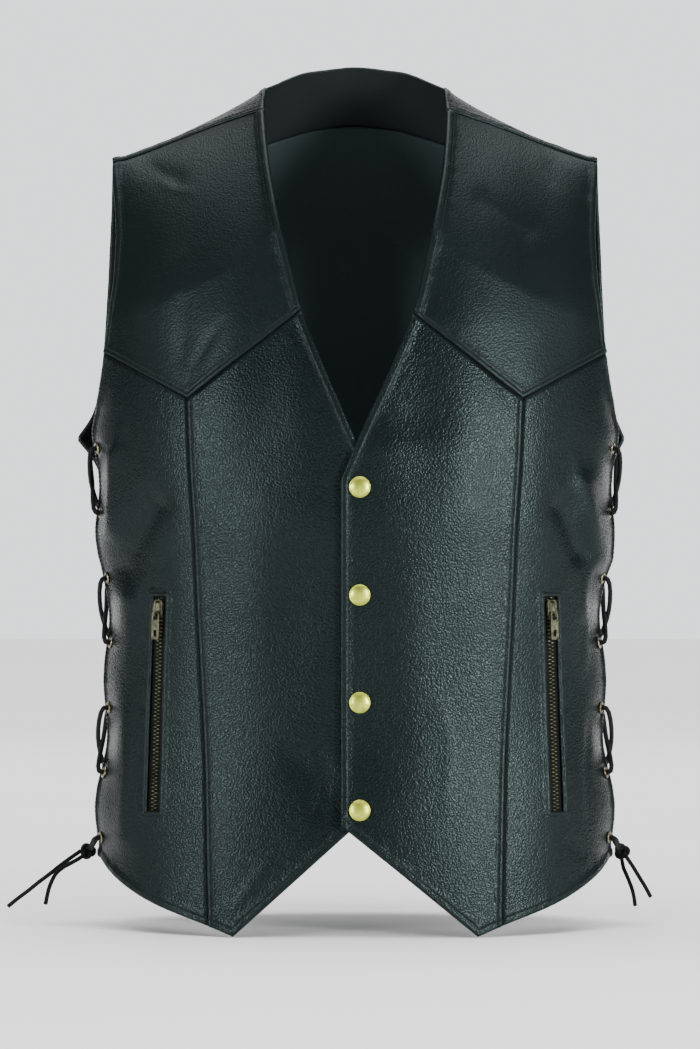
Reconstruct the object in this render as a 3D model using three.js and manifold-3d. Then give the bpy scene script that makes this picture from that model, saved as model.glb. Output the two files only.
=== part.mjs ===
// A black leather vest: V neck, pointed yokes, four press snaps, two zip pockets, and sides laced through eyelets.
// It keeps the hollow form that it has when it is worn. Millimetres, +Z up.
// The origin lies midway between the shoulders. The front faces -Y, and the wearer's left is +X.
import * as THREE from "three";
import { mergeVertices } from "three/addons/utils/BufferGeometryUtils.js";
import Module from "manifold-3d";

const wasm = await Module();
wasm.setup();

// Leather, lining and the room left between pieces
const LEATHER = 2.0;
const LINING = 1.0;
const SEAM_GAP = 0.32;
const LAYER_GAP = 2.3;
const LINING_GAP = { top: 3.4, edge: 0.9, middle: 5 };
const SEAT_GAP = 0.5;
const ZIP_GAP = 0.8;

// The general figure that the vest is cut for: half width and depths by height
const SQUARENESS = 2.2;
const FIGURE = [
  { z: 60, half: 188, front: 100, back: 112 },
  { z: 0, half: 192, front: 102, back: 114 },
  { z: -40, half: 196, front: 104, back: 116 },
  { z: -100, half: 198, front: 110, back: 118 },
  { z: -170, half: 200, front: 125, back: 117 },
  { z: -240, half: 201, front: 134, back: 114 },
  { z: -300, half: 198, front: 135, back: 110 },
  { z: -350, half: 193, front: 132, back: 106 },
  { z: -420, half: 190, front: 128, back: 105 },
  { z: -470, half: 193, front: 127, back: 109 },
  { z: -530, half: 197, front: 130, back: 115 },
  { z: -640, half: 200, front: 134, back: 121 },
];

// The line over the shoulders, and how far forward of it the shoulder seam lies, as a drop on the front
const SHOULDER = [
  { x: -36, z: 53, drop: 18 },
  { x: 0, z: 64, drop: 18 },
  { x: 36, z: 53, drop: 18 },
  { x: 53, z: 38, drop: 18 },
  { x: 69, z: 20.5, drop: 18 },
  { x: 82, z: 12, drop: 13.4 },
  { x: 111, z: -3.6, drop: 6.6 },
  { x: 151, z: -22, drop: 3 },
  { x: 191, z: -36, drop: 2.4 },
  { x: 230, z: -48, drop: 2.4 },
];
const CHEST_ARCH = { height: 130, power: 1.5 };
const BACK_ARCH = { height: 150, power: 1.7 };

// Neck edges of the two fronts: distance from the centre line, towards the wearer's own side
const NECK = [
  { z: 20, right: 71, left: 71 },
  { z: 2, right: 69.6, left: 70.4 },
  { z: -40, right: 65.4, left: 67.3 },
  { z: -80, right: 58.4, left: 60.6 },
  { z: -120, right: 48.6, left: 52.2 },
  { z: -154, right: 39.8, left: 44 },
  { z: -197, right: 22.9, left: 26.6 },
  { z: -254, right: -1.5, left: 0.6 },
  { z: -281, right: -12, left: -10.6 },
  { z: -310, right: -24, left: -22 },
];
const NECK_POINT = -281;
const FRONT_EDGE = { right: -14, left: -10.4 };
// The back's neck edge from its centre to the shoulder seam, as a drop behind the shoulder line.
// A negative drop lies on the front.
const BACK_NECK = [
  { x: 0, drop: 22 },
  { x: 24, drop: 19.5 },
  { x: 46, drop: 12.5 },
  { x: 61, drop: 5 },
  { x: 68, drop: 0.8 },
  { x: 69.8, drop: -18 },
];

// Yoke seam, the long seam below it, and the hem with its two points
const YOKE_SEAM = { innerX: 42, innerZ: -156, pointX: 125, pointZ: -220, outerX: 190, outerZ: -184 };
const LONG_SEAM = [
  { z: -200, x: 126 },
  { z: -220, x: 125 },
  { z: -268, x: 123 },
  { z: -318, x: 120 },
  { z: -359, x: 118.2 },
  { z: -434, x: 114.6 },
  { z: -499, x: 111.8 },
  { z: -611, x: 109.3 },
  { z: -640, x: 108.6 },
];
const HEM_POINT = { x: 91, z: -620 };
const HEM_SLOPE = { right: 0.9, left: 0.82 };
const HEM_SIDE = [
  { x: 91, z: -620 },
  { x: 110, z: -612.5 },
  { x: 151, z: -597.5 },
  { x: 172, z: -586.5 },
  { x: 185, z: -577 },
  { x: 191, z: -571 },
  { x: 200, z: -562 },
];
const BACK_HEM = { centre: -550, side: -566 };

// How far round the body each panel's outer edge lies, in degrees from the front or back centre line
const ARMHOLE = [
  { z: 10, front: 72, back: 78 },
  { z: -38, front: 71.8, back: 77 },
  { z: -74, front: 68.4, back: 75.5 },
  { z: -100, front: 66.8, back: 75.5 },
  { z: -124, front: 66.8, back: 75 },
  { z: -150, front: 68.4, back: 75 },
  { z: -184, front: 71.4, back: 76 },
  { z: -207, front: 74.2, back: 77.5 },
  { z: -226, front: 78, back: 79 },
  { z: -243, front: 80.5, back: 79.5 },
  { z: -290, front: 81, back: 80 },
  { z: -640, front: 81, back: 80 },
];
const UNDERARM = -243;
// The left front's edge lies over the right front's, and is flush with its own side again beyond
const OVERLAP = { fromX: 16, toX: 46, fromZ: -262, toZ: -232 };
// Where the back's underarm corner stands away from the body
const CORNER_FLARE = { z: -246, reach: 26, right: 12, left: 6, from: 64, to: 82 };

// The largest folds: a ridge or a trough from one place to the next, on the wearer's own side
const FOLDS = [
  { side: "right", x: 152, z: -300, toX: 176, toZ: -345, width: 10, height: -3.6 },
  { side: "right", x: 184, z: -262, toX: 182, toZ: -318, width: 8, height: 2.6 },
  { side: "right", x: 172, z: -372, toX: 174, toZ: -550, width: 9, height: 2.2 },
  { side: "right", x: 40, z: -490, toX: 14, toZ: -522, width: 14, height: -1.6 },
  { side: "right", x: 158, z: -42, toX: 136, toZ: -52, width: 8, height: -1.5 },
  { side: "left", x: 172, z: -284, toX: 184, toZ: -340, width: 9, height: 3.2 },
  { side: "left", x: 158, z: -302, toX: 172, toZ: -334, width: 10, height: -4 },
  { side: "left", x: 98, z: -70, toX: 130, toZ: -92, width: 9, height: -1.3 },
  { side: "left", x: 152, z: -40, toX: 176, toZ: -62, width: 8, height: -1.5 },
];
const BACK_FOLDS = [
  { side: "right", x: 120, z: -360, toX: 60, toZ: -378, width: 13, height: -2.6 },
  { side: "left", x: 128, z: -382, toX: 72, toZ: -396, width: 13, height: -2.8 },
  { side: "right", x: 150, z: -200, toX: 120, toZ: -260, width: 13, height: 2.2 },
  { side: "left", x: 152, z: -190, toX: 128, toZ: -262, width: 13, height: 2.4 },
  { side: "left", x: 150, z: -430, toX: 140, toZ: -530, width: 12, height: 2 },
  { side: "right", x: 146, z: -440, toX: 140, toZ: -525, width: 12, height: 1.8 },
];

// Eyelets along the laced edges, with their holes
const EYELET = { count: 7, firstZ: -256, pitch: 49.3, inset: 9, sides: 8 };
const RING = { outer: 4.6, bore: 2.5, barrel: 2.95, rise: 1, end: 0.4 };
const HOLE = { radius: 3.5, length: 12 };
// How far the laced edges wave, and between which angles
const SCALLOP = { height: 3, from: 62, to: 82 };

// Laces: heights over an eyelet's place from outside to inside, and how far the runs between eyelets bow and part
const LACE = { radius: 1.6, sides: 6, stand: 4.4, overRim: 0.2, underEnd: 0.3, hang: -5.2, bulge: 6, dip: -1, part: 2.1 };
const LACE_END_SIDES = 8;
const KNOT = { x: 205, y: 2, z: -565, radius: 2.9, tube: 1.3, steps: 30, sides: 5, room: 0.6, aside: 2 };
// Routes of the free lace ends, from the knot outwards: x, y, z
const LACE_ENDS = {
  lace_end_right_1: [
    [-210.4, 1.5, -564.6], [-219, -2, -570.5], [-226.5, -4, -576], [-234, -5, -582],
    [-242, -5, -588], [-250, -4, -594.5], [-258, -3, -600.5], [-266, -2, -607],
  ],
  lace_end_right_2: [
    [-207.1, -0.7, -567.4], [-212, -5, -570.5], [-217.5, -6.4, -573.5], [-223, -7, -576.5], [-228.5, -8, -581],
    [-232, -8, -587], [-234.3, -8, -593], [-235.8, -7, -599], [-237, -6, -605],
  ],
  lace_end_left_1: [
    [207.7, -0.7, -568.2], [212.7, -4, -575.5], [215.6, -5, -580.3], [218.6, -5, -585.2],
    [221.6, -5, -590], [224.4, -4, -595], [226.8, -4, -599.6],
  ],
  lace_end_left_2: [
    [204.9, 3.3, -570.2], [206.6, 5, -578.2], [208.8, 5, -583.4], [211, 5, -588.6],
    [213, 5, -594], [214.4, 4, -600], [215.4, 3, -607],
  ],
};

// Zip pockets
const ZIP = { top: -368, bottom: -529, topX: 147, bottomX: 152, slot: 13.5, tape: 24, tapeThick: 1, over: 8 };
const SLOT_CUT = { above: 6, below: -8, steps: 8 };
const TEETH = { half: 3, rise: 1.4, side: 0.05, start: 0.8, slope: 1.2, steps: 10 };
const SLIDER = { below: 9, width: 9, length: 13, corner: 2.5, low: -1.1, high: 1.1 };
// The bridge over the slider, under which the pull's bar turns
const BRIDGE = { width: 1.8, clear: 3.2, thick: 1.2, post: 1.8, inset: 0.6, sunk: 0.5, cornerX: 1, cornerZ: 0.3 };
const PULL = { width: 7, length: 21, corner: 1.6, thick: 1.2, bar: 1.4, window: 4.5, arm: 1.4, play: 0.5 };
const PULL_HOLE = { width: 3, length: 5, end: 2.4 };

// Press snaps down the front edge
const SNAP = { x: 3.4, firstZ: -286.4, pitch: 79.7, count: 4, facets: 14 };
const CAP = [
  { radius: 0, height: 0 },
  { radius: 7.5, height: 0 },
  { radius: 8, height: 0.6 },
  { radius: 7.3, height: 1.5 },
  { radius: 4.6, height: 2.3 },
  { radius: 0, height: 2.6 },
];
const STUD = { radius: 5, thick: 1.3, facets: 10 };

// How many rows and columns of places each front panel is drawn through
const STEPS = {
  yokeInner: 5, yokeOuter: 5, yokeDown: 9, yokeCrowd: 1.5,
  centreInner: 7, centreOuter: 1, centreNeck: 6, centreDown: 11,
  sideAcross: 8, sideArm: 3, sideDown: 15,
};
const SEARCH = { from: -220, steps: 16 };
// The step, in degrees and millimetres, over which a normal is taken
const SLOPE_STEP = { turn: 0.2, drop: 0.4, top: 0.05 };

const black = { color: 0x20292b, roughness: 0.5, metalness: 0 };
const MATERIALS = {
  leather: new THREE.MeshStandardMaterial(black),
  lining: new THREE.MeshStandardMaterial({ color: 0x141617, roughness: 0.95, metalness: 0 }),
  tape: new THREE.MeshStandardMaterial({ color: 0x101112, roughness: 0.9, metalness: 0 }),
  lace: new THREE.MeshStandardMaterial({ color: 0x0c0d0d, roughness: 0.85, metalness: 0 }),
  snap: new THREE.MeshStandardMaterial({ color: 0xd2d29a, roughness: 0.3, metalness: 1 }),
  eyelet: new THREE.MeshStandardMaterial({ color: 0x9a8b63, roughness: 0.4, metalness: 1 }),
  slider: new THREE.MeshStandardMaterial({ color: 0x77766c, roughness: 0.35, metalness: 1 }),
};

const RADIAN = Math.PI / 180;
const SIDES = { right: -1, left: 1 };
const vest = new THREE.Group();

// A smooth line through a table's rows, straight beyond its ends
function lineThrough(rows, key, column) {
  const sorted = [...rows].sort((a, b) => a[key] - b[key]);
  const places = sorted.map((row) => row[key]);
  const values = sorted.map((row) => row[column]);
  const last = places.length - 1;
  const slope = (i) => (values[i + 1] - values[i]) / (places[i + 1] - places[i]);
  const tangents = places.map((_, i) => {
    if (i === 0) return slope(0);
    if (i === last) return slope(last - 1);
    const before = slope(i - 1);
    const after = slope(i);
    return before * after <= 0 ? 0 : (2 * before * after) / (before + after);
  });
  return (place) => {
    if (place <= places[0]) return values[0] + tangents[0] * (place - places[0]);
    if (place >= places[last]) return values[last] + tangents[last] * (place - places[last]);
    const i = places.findIndex((value) => value > place) - 1;
    const span = places[i + 1] - places[i];
    const u = (place - places[i]) / span;
    const start = values[i] * (1 + 2 * u) * (1 - u) ** 2 + span * tangents[i] * u * (1 - u) ** 2;
    return start + values[i + 1] * u * u * (3 - 2 * u) + span * tangents[i + 1] * u * u * (u - 1);
  };
}

const halfWidth = lineThrough(FIGURE, "z", "half");
const frontDepth = lineThrough(FIGURE, "z", "front");
const backDepth = lineThrough(FIGURE, "z", "back");
const shoulderLine = lineThrough(SHOULDER, "x", "z");
const seamDrop = lineThrough(SHOULDER, "x", "drop");
const longSeam = lineThrough(LONG_SEAM, "z", "x");
const hemSideLine = lineThrough(HEM_SIDE, "x", "z");
const neckEdge = { right: lineThrough(NECK, "z", "right"), left: lineThrough(NECK, "z", "left") };
const armholeAngle = { front: lineThrough(ARMHOLE, "z", "front"), back: lineThrough(ARMHOLE, "z", "back") };

const mix = (a, b, t) => a + (b - a) * t;

function ease(low, high, value) {
  const t = Math.min(1, Math.max(0, (value - low) / (high - low)));
  return t * t * (3 - 2 * t);
}

// How far the folds of one side lift the leather at a place
function foldLift(folds, side, x, z) {
  let lift = 0;
  for (const fold of folds) {
    if (fold.side !== side) continue;
    const alongX = fold.toX - fold.x;
    const alongZ = fold.toZ - fold.z;
    const t = ((x - fold.x) * alongX + (z - fold.z) * alongZ) / (alongX ** 2 + alongZ ** 2);
    const nearest = Math.min(1, Math.max(0, t));
    const away = Math.hypot(x - fold.x - nearest * alongX, z - fold.z - nearest * alongZ);
    lift += fold.height * Math.exp(-((away / fold.width) ** 2));
  }
  return lift;
}

// The laced edges stand out where the lace runs inside, and are drawn in where it runs outside
function scallop(angle, z) {
  const step = (EYELET.firstZ - z) / EYELET.pitch;
  const inLaced = ease(-0.6, 0, step) * (1 - ease(EYELET.count - 1, EYELET.count - 0.5, step));
  return -SCALLOP.height * Math.sin(Math.PI * step) * inLaced * ease(SCALLOP.from, SCALLOP.to, angle);
}

// A point of the leather's outer face. Angle runs from the front or back centre line round to the side.
function bodyPoint(face, side, angle, z) {
  const sign = SIDES[side];
  const phi = angle * RADIAN;
  const x = halfWidth(z) * Math.sin(phi);
  const own = Math.abs(x);
  const section = (1 - Math.abs(Math.sin(phi)) ** SQUARENESS) ** (1 / SQUARENESS);
  const arch = face === "front" ? CHEST_ARCH : BACK_ARCH;
  const up = Math.max(0, 1 - (shoulderLine(own) - z) / arch.height);
  const over = Math.max(0, 1 - up ** arch.power) ** (1 / arch.power);
  const depth = (face === "front" ? frontDepth(z) : backDepth(z)) * section * over;
  const toward = face === "front" ? -1 : 1;
  let out = foldLift(face === "front" ? FOLDS : BACK_FOLDS, side, x, z) + scallop(angle, z);
  if (face === "front" && side === "left") {
    const overEdge = (1 - ease(OVERLAP.fromX, OVERLAP.toX, x)) * (1 - ease(OVERLAP.fromZ, OVERLAP.toZ, z));
    out += (LAYER_GAP + LEATHER) * overEdge;
  }
  let flare = 0;
  if (face === "back") {
    const near = Math.exp(-(((z - CORNER_FLARE.z) / CORNER_FLARE.reach) ** 2));
    flare = CORNER_FLARE[side] * near * ease(CORNER_FLARE.from, CORNER_FLARE.to, angle);
  }
  const px = x + out * Math.sin(phi) + flare;
  return new THREE.Vector3(sign * px, toward * (depth + out * Math.cos(phi)), z);
}

// The outward normal there, from the slopes of the same surface
function bodyNormal(face, side, angle, z) {
  const { turn, drop } = SLOPE_STEP;
  const top = Math.min(z + drop, shoulderLine(halfWidth(z) * Math.sin(angle * RADIAN)) - SLOPE_STEP.top);
  const across = bodyPoint(face, side, angle + turn, z).sub(bodyPoint(face, side, angle - turn, z));
  const down = bodyPoint(face, side, angle, z - drop).sub(bodyPoint(face, side, angle, Math.max(top, z)));
  const normal = across.cross(down).normalize();
  const inward = SIDES[side] * (face === "front" ? -1 : 1);
  return normal.multiplyScalar(inward);
}

const angleAt = (x, z) => Math.asin(Math.max(-0.999, Math.min(0.999, x / halfWidth(z)))) / RADIAN;

function geometryOf(points, triangles) {
  const geometry = new THREE.BufferGeometry();
  geometry.setAttribute("position", new THREE.Float32BufferAttribute(points.flatMap((p) => [p.x, p.y, p.z]), 3));
  geometry.setIndex(triangles.flat());
  return geometry;
}

function signedVolume(points, triangles) {
  const cross = new THREE.Vector3();
  return triangles.reduce((sum, [a, b, c]) => sum + points[a].dot(cross.crossVectors(points[b], points[c])), 0) / 6;
}

// A closed wall between an outer and an inner grid of points
function wall(outer, inner) {
  const rows = outer.length;
  const columns = outer[0].length;
  const points = [...outer.flat(), ...inner.flat()];
  const half = rows * columns;
  const triangles = [];
  const quad = (a, b, c, d) => {
    const across = points[a].distanceTo(points[c]) <= points[b].distanceTo(points[d]);
    triangles.push(...(across ? [[a, b, c], [a, c, d]] : [[a, b, d], [b, c, d]]));
  };
  for (let i = 0; i + 1 < rows; i++) {
    for (let j = 0; j + 1 < columns; j++) {
      const a = i * columns + j;
      quad(a, a + 1, a + columns + 1, a + columns);
      quad(half + a, half + a + columns, half + a + columns + 1, half + a + 1);
    }
  }
  const rim = [];
  for (let j = 0; j < columns; j++) rim.push(j);
  for (let i = 1; i < rows; i++) rim.push(i * columns + columns - 1);
  for (let j = columns - 2; j >= 0; j--) rim.push((rows - 1) * columns + j);
  for (let i = rows - 2; i > 0; i--) rim.push(i * columns);
  rim.forEach((a, i) => {
    const b = rim[(i + 1) % rim.length];
    quad(b, a, half + a, half + b);
  });
  if (signedVolume(points, triangles) < 0) triangles.forEach((triangle) => triangle.reverse());
  return geometryOf(points, triangles);
}

// Draws a grid's rim back from its seams, along the surface
function drawBack(grid, distance) {
  const rows = grid.length;
  const columns = grid[0].length;
  const toward = (p, q) => q.clone().sub(p).setLength(distance);
  const rowMoves = [0, rows - 1].flatMap((i) => grid[i].map((p, j) => [p, toward(p, grid[i ? i - 1 : 1][j])]));
  const columnMoves = [0, columns - 1].flatMap((j) => grid.map((row) => [row[j], toward(row[j], row[j ? j - 1 : 1])]));
  [...rowMoves, ...columnMoves].forEach(([p, move]) => p.add(move));
}

// A point at a height above the outer face, or below it where the height is negative
function standOff(place, height) {
  return bodyPoint(...place).addScaledVector(bodyNormal(...place), height);
}

// A wall through places given by face, side, angle and height
function wallThrough(places, thickness = LEATHER, depthAt = () => 0) {
  const outer = places.map((row, i) => row.map((place, j) => standOff(place, -depthAt(i, j))));
  const inner = places.map((row, i) => row.map((place, j) => standOff(place, -depthAt(i, j) - thickness)));
  drawBack(outer, SEAM_GAP / 2);
  drawBack(inner, SEAM_GAP / 2);
  return wall(outer, inner);
}

function solidOf(geometry) {
  const plain = geometry.clone();
  plain.deleteAttribute("normal");
  plain.deleteAttribute("uv");
  const merged = mergeVertices(plain, 1e-4);
  const vertProperties = new Float32Array(merged.attributes.position.array);
  return new wasm.Manifold(new wasm.Mesh({ numProp: 3, vertProperties, triVerts: new Uint32Array(merged.index.array) }));
}

function geometryFrom(solid) {
  const mesh = solid.getMesh();
  const geometry = new THREE.BufferGeometry();
  geometry.setAttribute("position", new THREE.BufferAttribute(mesh.vertProperties, 3));
  geometry.setIndex(new THREE.BufferAttribute(mesh.triVerts, 1));
  return geometry;
}

function cutFrom(geometry, cutters) {
  return geometryFrom(cutters.reduce((solid, cutter) => solid.subtract(solidOf(cutter)), solidOf(geometry)));
}

// Places a shape whose own +Z is the normal and whose own +Y runs up the garment
function frameAt(point, normal, up) {
  const across = up.clone().cross(normal).normalize();
  const rise = normal.clone().cross(across).normalize();
  return new THREE.Matrix4().makeBasis(across, rise, normal).setPosition(point);
}

function add(name, geometry, material) {
  const mesh = new THREE.Mesh(geometry, MATERIALS[material]);
  mesh.name = name;
  vest.add(mesh);
}

const span = (from, to, count) => Array.from({ length: count }, (_, i) => mix(from, to, (i + 1) / count));

// A line's height where a panel's column meets it
function meet(lineHeight, angleOf, share) {
  let z = SEARCH.from;
  for (let i = 0; i < SEARCH.steps; i++) {
    z = lineHeight(halfWidth(z) * Math.sin(angleOf(share, z) * RADIAN));
  }
  return z;
}

function yokeSeamHeight(x) {
  const { innerX, innerZ, pointX, pointZ, outerX, outerZ } = YOKE_SEAM;
  const inner = mix(innerZ, pointZ, (x - innerX) / (pointX - innerX));
  const outer = mix(pointZ, outerZ, (x - pointX) / (outerX - pointX));
  return Math.max(inner, outer);
}

const shoulderSeamHeight = (x) => shoulderLine(x) - seamDrop(x);

function hemHeight(side) {
  return (x) => (x > HEM_POINT.x ? hemSideLine(x) : HEM_POINT.z + (HEM_POINT.x - x) * HEM_SLOPE[side]);
}

// Front panels of one side
function buildFront(side) {
  const innerX = (z) => Math.max(neckEdge[side](z), FRONT_EDGE[side]);
  const inner = (z) => angleAt(innerX(z), z);
  const seam = (z) => angleAt(longSeam(z), z);
  const outer = (z) => armholeAngle.front(z);
  const yokeAngle = (share, z) => mix(inner(z), outer(z), share);
  const centreAngle = (share, z) => mix(inner(z), seam(z), share);
  const sideAngle = (share, z) => mix(seam(z), outer(z), share);
  const hem = hemHeight(side);

  const shareAt = (angle, low, high, z) => (angle - low(z)) / (high(z) - low(z));
  const grid = (shares, falls, angleOf, topLine, lowLine) => {
    const tops = shares.map((share) => meet(topLine, angleOf, share));
    const lows = shares.map((share) => meet(lowLine, angleOf, share));
    return falls.map((fall) => shares.map((share, j) => {
      const z = mix(tops[j], lows[j], fall);
      return ["front", side, angleOf(share, z), z];
    }));
  };

  const yokeMiddle = shareAt(seam(YOKE_SEAM.pointZ), inner, outer, YOKE_SEAM.pointZ);
  const yokeShares = [0, ...span(0, yokeMiddle, STEPS.yokeInner), ...span(yokeMiddle, 1, STEPS.yokeOuter)];
  const yokeFalls = [0, ...span(0, 1, STEPS.yokeDown)].map((fall) => fall ** STEPS.yokeCrowd);
  const yoke = grid(yokeShares, yokeFalls, yokeAngle, shoulderSeamHeight, yokeSeamHeight);
  add(`yoke_${side}`, wallThrough(yoke), "leather");

  const hemShare = shareAt(angleAt(HEM_POINT.x, HEM_POINT.z), inner, seam, HEM_POINT.z);
  const neckFall = (NECK_POINT - YOKE_SEAM.innerZ) / (hem(FRONT_EDGE[side]) - YOKE_SEAM.innerZ);
  const centreShares = [0, ...span(0, hemShare, STEPS.centreInner), ...span(hemShare, 1, STEPS.centreOuter)];
  const centreFalls = [0, ...span(0, neckFall, STEPS.centreNeck), ...span(neckFall, 1, STEPS.centreDown)];
  const centre = grid(centreShares, centreFalls, centreAngle, yokeSeamHeight, hem);
  add(`front_centre_${side}`, wallThrough(centre), "leather");

  const hemAtSide = meet(hem, sideAngle, 1);
  const armFall = (UNDERARM - YOKE_SEAM.outerZ) / (hemAtSide - YOKE_SEAM.outerZ);
  const sideShares = [0, ...span(0, 1, STEPS.sideAcross)];
  const sideFalls = [0, ...span(0, armFall, STEPS.sideArm), ...span(armFall, 1, STEPS.sideDown)];
  const sidePlaces = grid(sideShares, sideFalls, sideAngle, yokeSeamHeight, hem);
  const cutters = [...eyeletCutters("front", side), slotCutter(side)];
  add(`front_side_${side}`, cutFrom(wallThrough(sidePlaces), cutters), "leather");
}

// The back runs over the shoulders to the shoulder seams. Its first columns start along the neck edge.
const BACK_COLUMNS = 12;
const ARCH_ROWS = 9;
const BACK_ROWS = 16;
const BACK_TIP = -38;
const BELOW_ARCH = -130;
const LEAST_DROP = 0.06;
const LINING_ROW = 4;
const LINING_COLUMN = 9;

// Drops below the shoulder line, as turns over it: behind it positive, before it negative
function turnOver(drop) {
  const arch = drop < 0 ? CHEST_ARCH : BACK_ARCH;
  return Math.sign(drop) * Math.acos((1 - Math.abs(drop) / arch.height) ** (arch.power / 2)) / RADIAN;
}

function backPlace(column, row) {
  const side = column < 0 ? "right" : "left";
  const index = Math.abs(column);
  const share = index / BACK_COLUMNS;
  const neckEnd = BACK_NECK.length - 1;
  const tip = halfWidth(BACK_TIP) * Math.sin(armholeAngle.front(BACK_TIP) * RADIAN);
  const topX = index <= neckEnd ? BACK_NECK[index].x
    : mix(BACK_NECK[neckEnd].x, tip, (index - neckEnd) / (BACK_COLUMNS - neckEnd));
  const firstTurn = turnOver(index < neckEnd ? BACK_NECK[index].drop : -seamDrop(topX));
  const lowX = (z) => halfWidth(z) * Math.sin(share * armholeAngle.back(z) * RADIAN);
  if (row > ARCH_ROWS) {
    const start = shoulderLine(lowX(BELOW_ARCH)) - BACK_ARCH.height;
    const end = mix(BACK_HEM.centre, BACK_HEM.side, share ** 2);
    const z = mix(start, end, (row - ARCH_ROWS) / BACK_ROWS);
    return ["back", side, angleAt(lowX(z), z), z];
  }
  const turn = mix(firstTurn, 90, row / ARCH_ROWS);
  const arch = turn < 0 ? CHEST_ARCH : BACK_ARCH;
  const drop = arch.height * (1 - Math.cos(Math.abs(turn) * RADIAN) ** (2 / arch.power));
  const x = mix(topX, lowX(shoulderLine(topX) - drop), ease(0, 1, row / ARCH_ROWS));
  const z = shoulderLine(x) - Math.max(LEAST_DROP, drop);
  return [turn < 0 ? "front" : "back", side, angleAt(x, z), z];
}

function buildBack() {
  const columns = Array.from({ length: 2 * BACK_COLUMNS + 1 }, (_, j) => j - BACK_COLUMNS);
  const rows = Array.from({ length: ARCH_ROWS + BACK_ROWS + 1 }, (_, i) => i);
  const places = rows.map((row) => columns.map((column) => backPlace(column, row)));
  const cutters = [...eyeletCutters("back", "right"), ...eyeletCutters("back", "left")];
  add("back_panel", cutFrom(wallThrough(places), cutters), "leather");
  const liningRows = rows.filter((row) => row >= LINING_ROW && (row - LINING_ROW) % 2 === 0 && row < rows.length - 1);
  const liningColumns = columns.filter((column) => column % 2 !== 0 && Math.abs(column) <= LINING_COLUMN);
  const liningPlaces = liningRows.map((row) => liningColumns.map((column) => backPlace(column, row)));
  const onRim = (i, j) => j === 0 || i === liningRows.length - 1 || j === liningColumns.length - 1;
  const depthAt = (i, j) => LEATHER + (i === 0 ? LINING_GAP.top : onRim(i, j) ? LINING_GAP.edge : LINING_GAP.middle);
  add("back_lining", wallThrough(liningPlaces, LINING, depthAt), "lining");
}

// The place of an eyelet, in from the laced edge
function eyeletPlace(face, side, index) {
  const z = EYELET.firstZ - EYELET.pitch * index;
  const edge = armholeAngle[face](z);
  const inset = EYELET.inset / ((face === "front" ? frontDepth(z) : backDepth(z)) * RADIAN);
  return [face, side, edge - inset, z];
}

function eyeletFrame(face, side, index) {
  const place = eyeletPlace(face, side, index);
  return frameAt(bodyPoint(...place), bodyNormal(...place), new THREE.Vector3(0, 0, 1));
}

const eyeletNumbers = Array.from({ length: EYELET.count }, (_, i) => i);
const layFlat = new THREE.Matrix4().makeRotationX(Math.PI / 2);

function eyeletCutters(face, side) {
  return eyeletNumbers.map((index) => {
    const cutter = new THREE.CylinderGeometry(HOLE.radius, HOLE.radius, HOLE.length, EYELET.sides);
    return cutter.applyMatrix4(layFlat).applyMatrix4(eyeletFrame(face, side, index));
  });
}

function buildEyelets(face, side) {
  const profile = [
    [RING.bore, -LEATHER - RING.end],
    [RING.barrel, -LEATHER - RING.end],
    [RING.barrel, SEAT_GAP],
    [RING.outer, SEAT_GAP],
    [RING.bore, SEAT_GAP + RING.rise],
    [RING.bore, -LEATHER - RING.end],
  ].map(([radius, height]) => new THREE.Vector2(radius, height));
  eyeletNumbers.forEach((index) => {
    const ring = new THREE.LatheGeometry(profile, EYELET.sides);
    ring.applyMatrix4(layFlat).applyMatrix4(eyeletFrame(face, side, index));
    add(`eyelet_${side}_${face}_${index + 1}`, ring, "eyelet");
  });
}

// Zip pockets
function zipPlace(side, share, across) {
  const z = mix(ZIP.top, ZIP.bottom, share);
  const x = mix(ZIP.topX, ZIP.bottomX, share);
  const angle = angleAt(x, z);
  const radius = bodyPoint("front", side, angle, z).setZ(0).length();
  return ["front", side, angle + across / (radius * RADIAN), z];
}

function zipFrame(side, share) {
  const place = zipPlace(side, share, 0);
  const up = bodyPoint(...zipPlace(side, share - 0.02, 0)).sub(bodyPoint(...zipPlace(side, share + 0.02, 0)));
  return frameAt(bodyPoint(...place), bodyNormal(...place), up);
}

function roundedBar(width, length, radius) {
  const shape = new THREE.Shape();
  const x = width / 2 - radius;
  const y = length / 2 - radius;
  shape.absarc(x, y, radius, 0, Math.PI / 2);
  shape.absarc(-x, y, radius, Math.PI / 2, Math.PI);
  shape.absarc(-x, -y, radius, Math.PI, 1.5 * Math.PI);
  shape.absarc(x, -y, radius, 1.5 * Math.PI, 2 * Math.PI);
  return shape;
}

function extruded(shape, depth, start) {
  const geometry = new THREE.ExtrudeGeometry(shape, { depth, bevelEnabled: false, curveSegments: 3 });
  return geometry.translate(0, 0, start);
}

// A sheet of places along a zip, at the given distances across it and heights over the leather
function zipLayer(side, shares, edges, heightOf) {
  return shares.map((share) => edges.map((across) => standOff(zipPlace(side, share, across), heightOf(share, across))));
}

function slotCutter(side) {
  const edges = [-ZIP.slot / 2, ZIP.slot / 2];
  const shares = [0, ...span(0, 1, SLOT_CUT.steps)];
  return wall(zipLayer(side, shares, edges, () => SLOT_CUT.above), zipLayer(side, shares, edges, () => SLOT_CUT.below));
}

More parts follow.
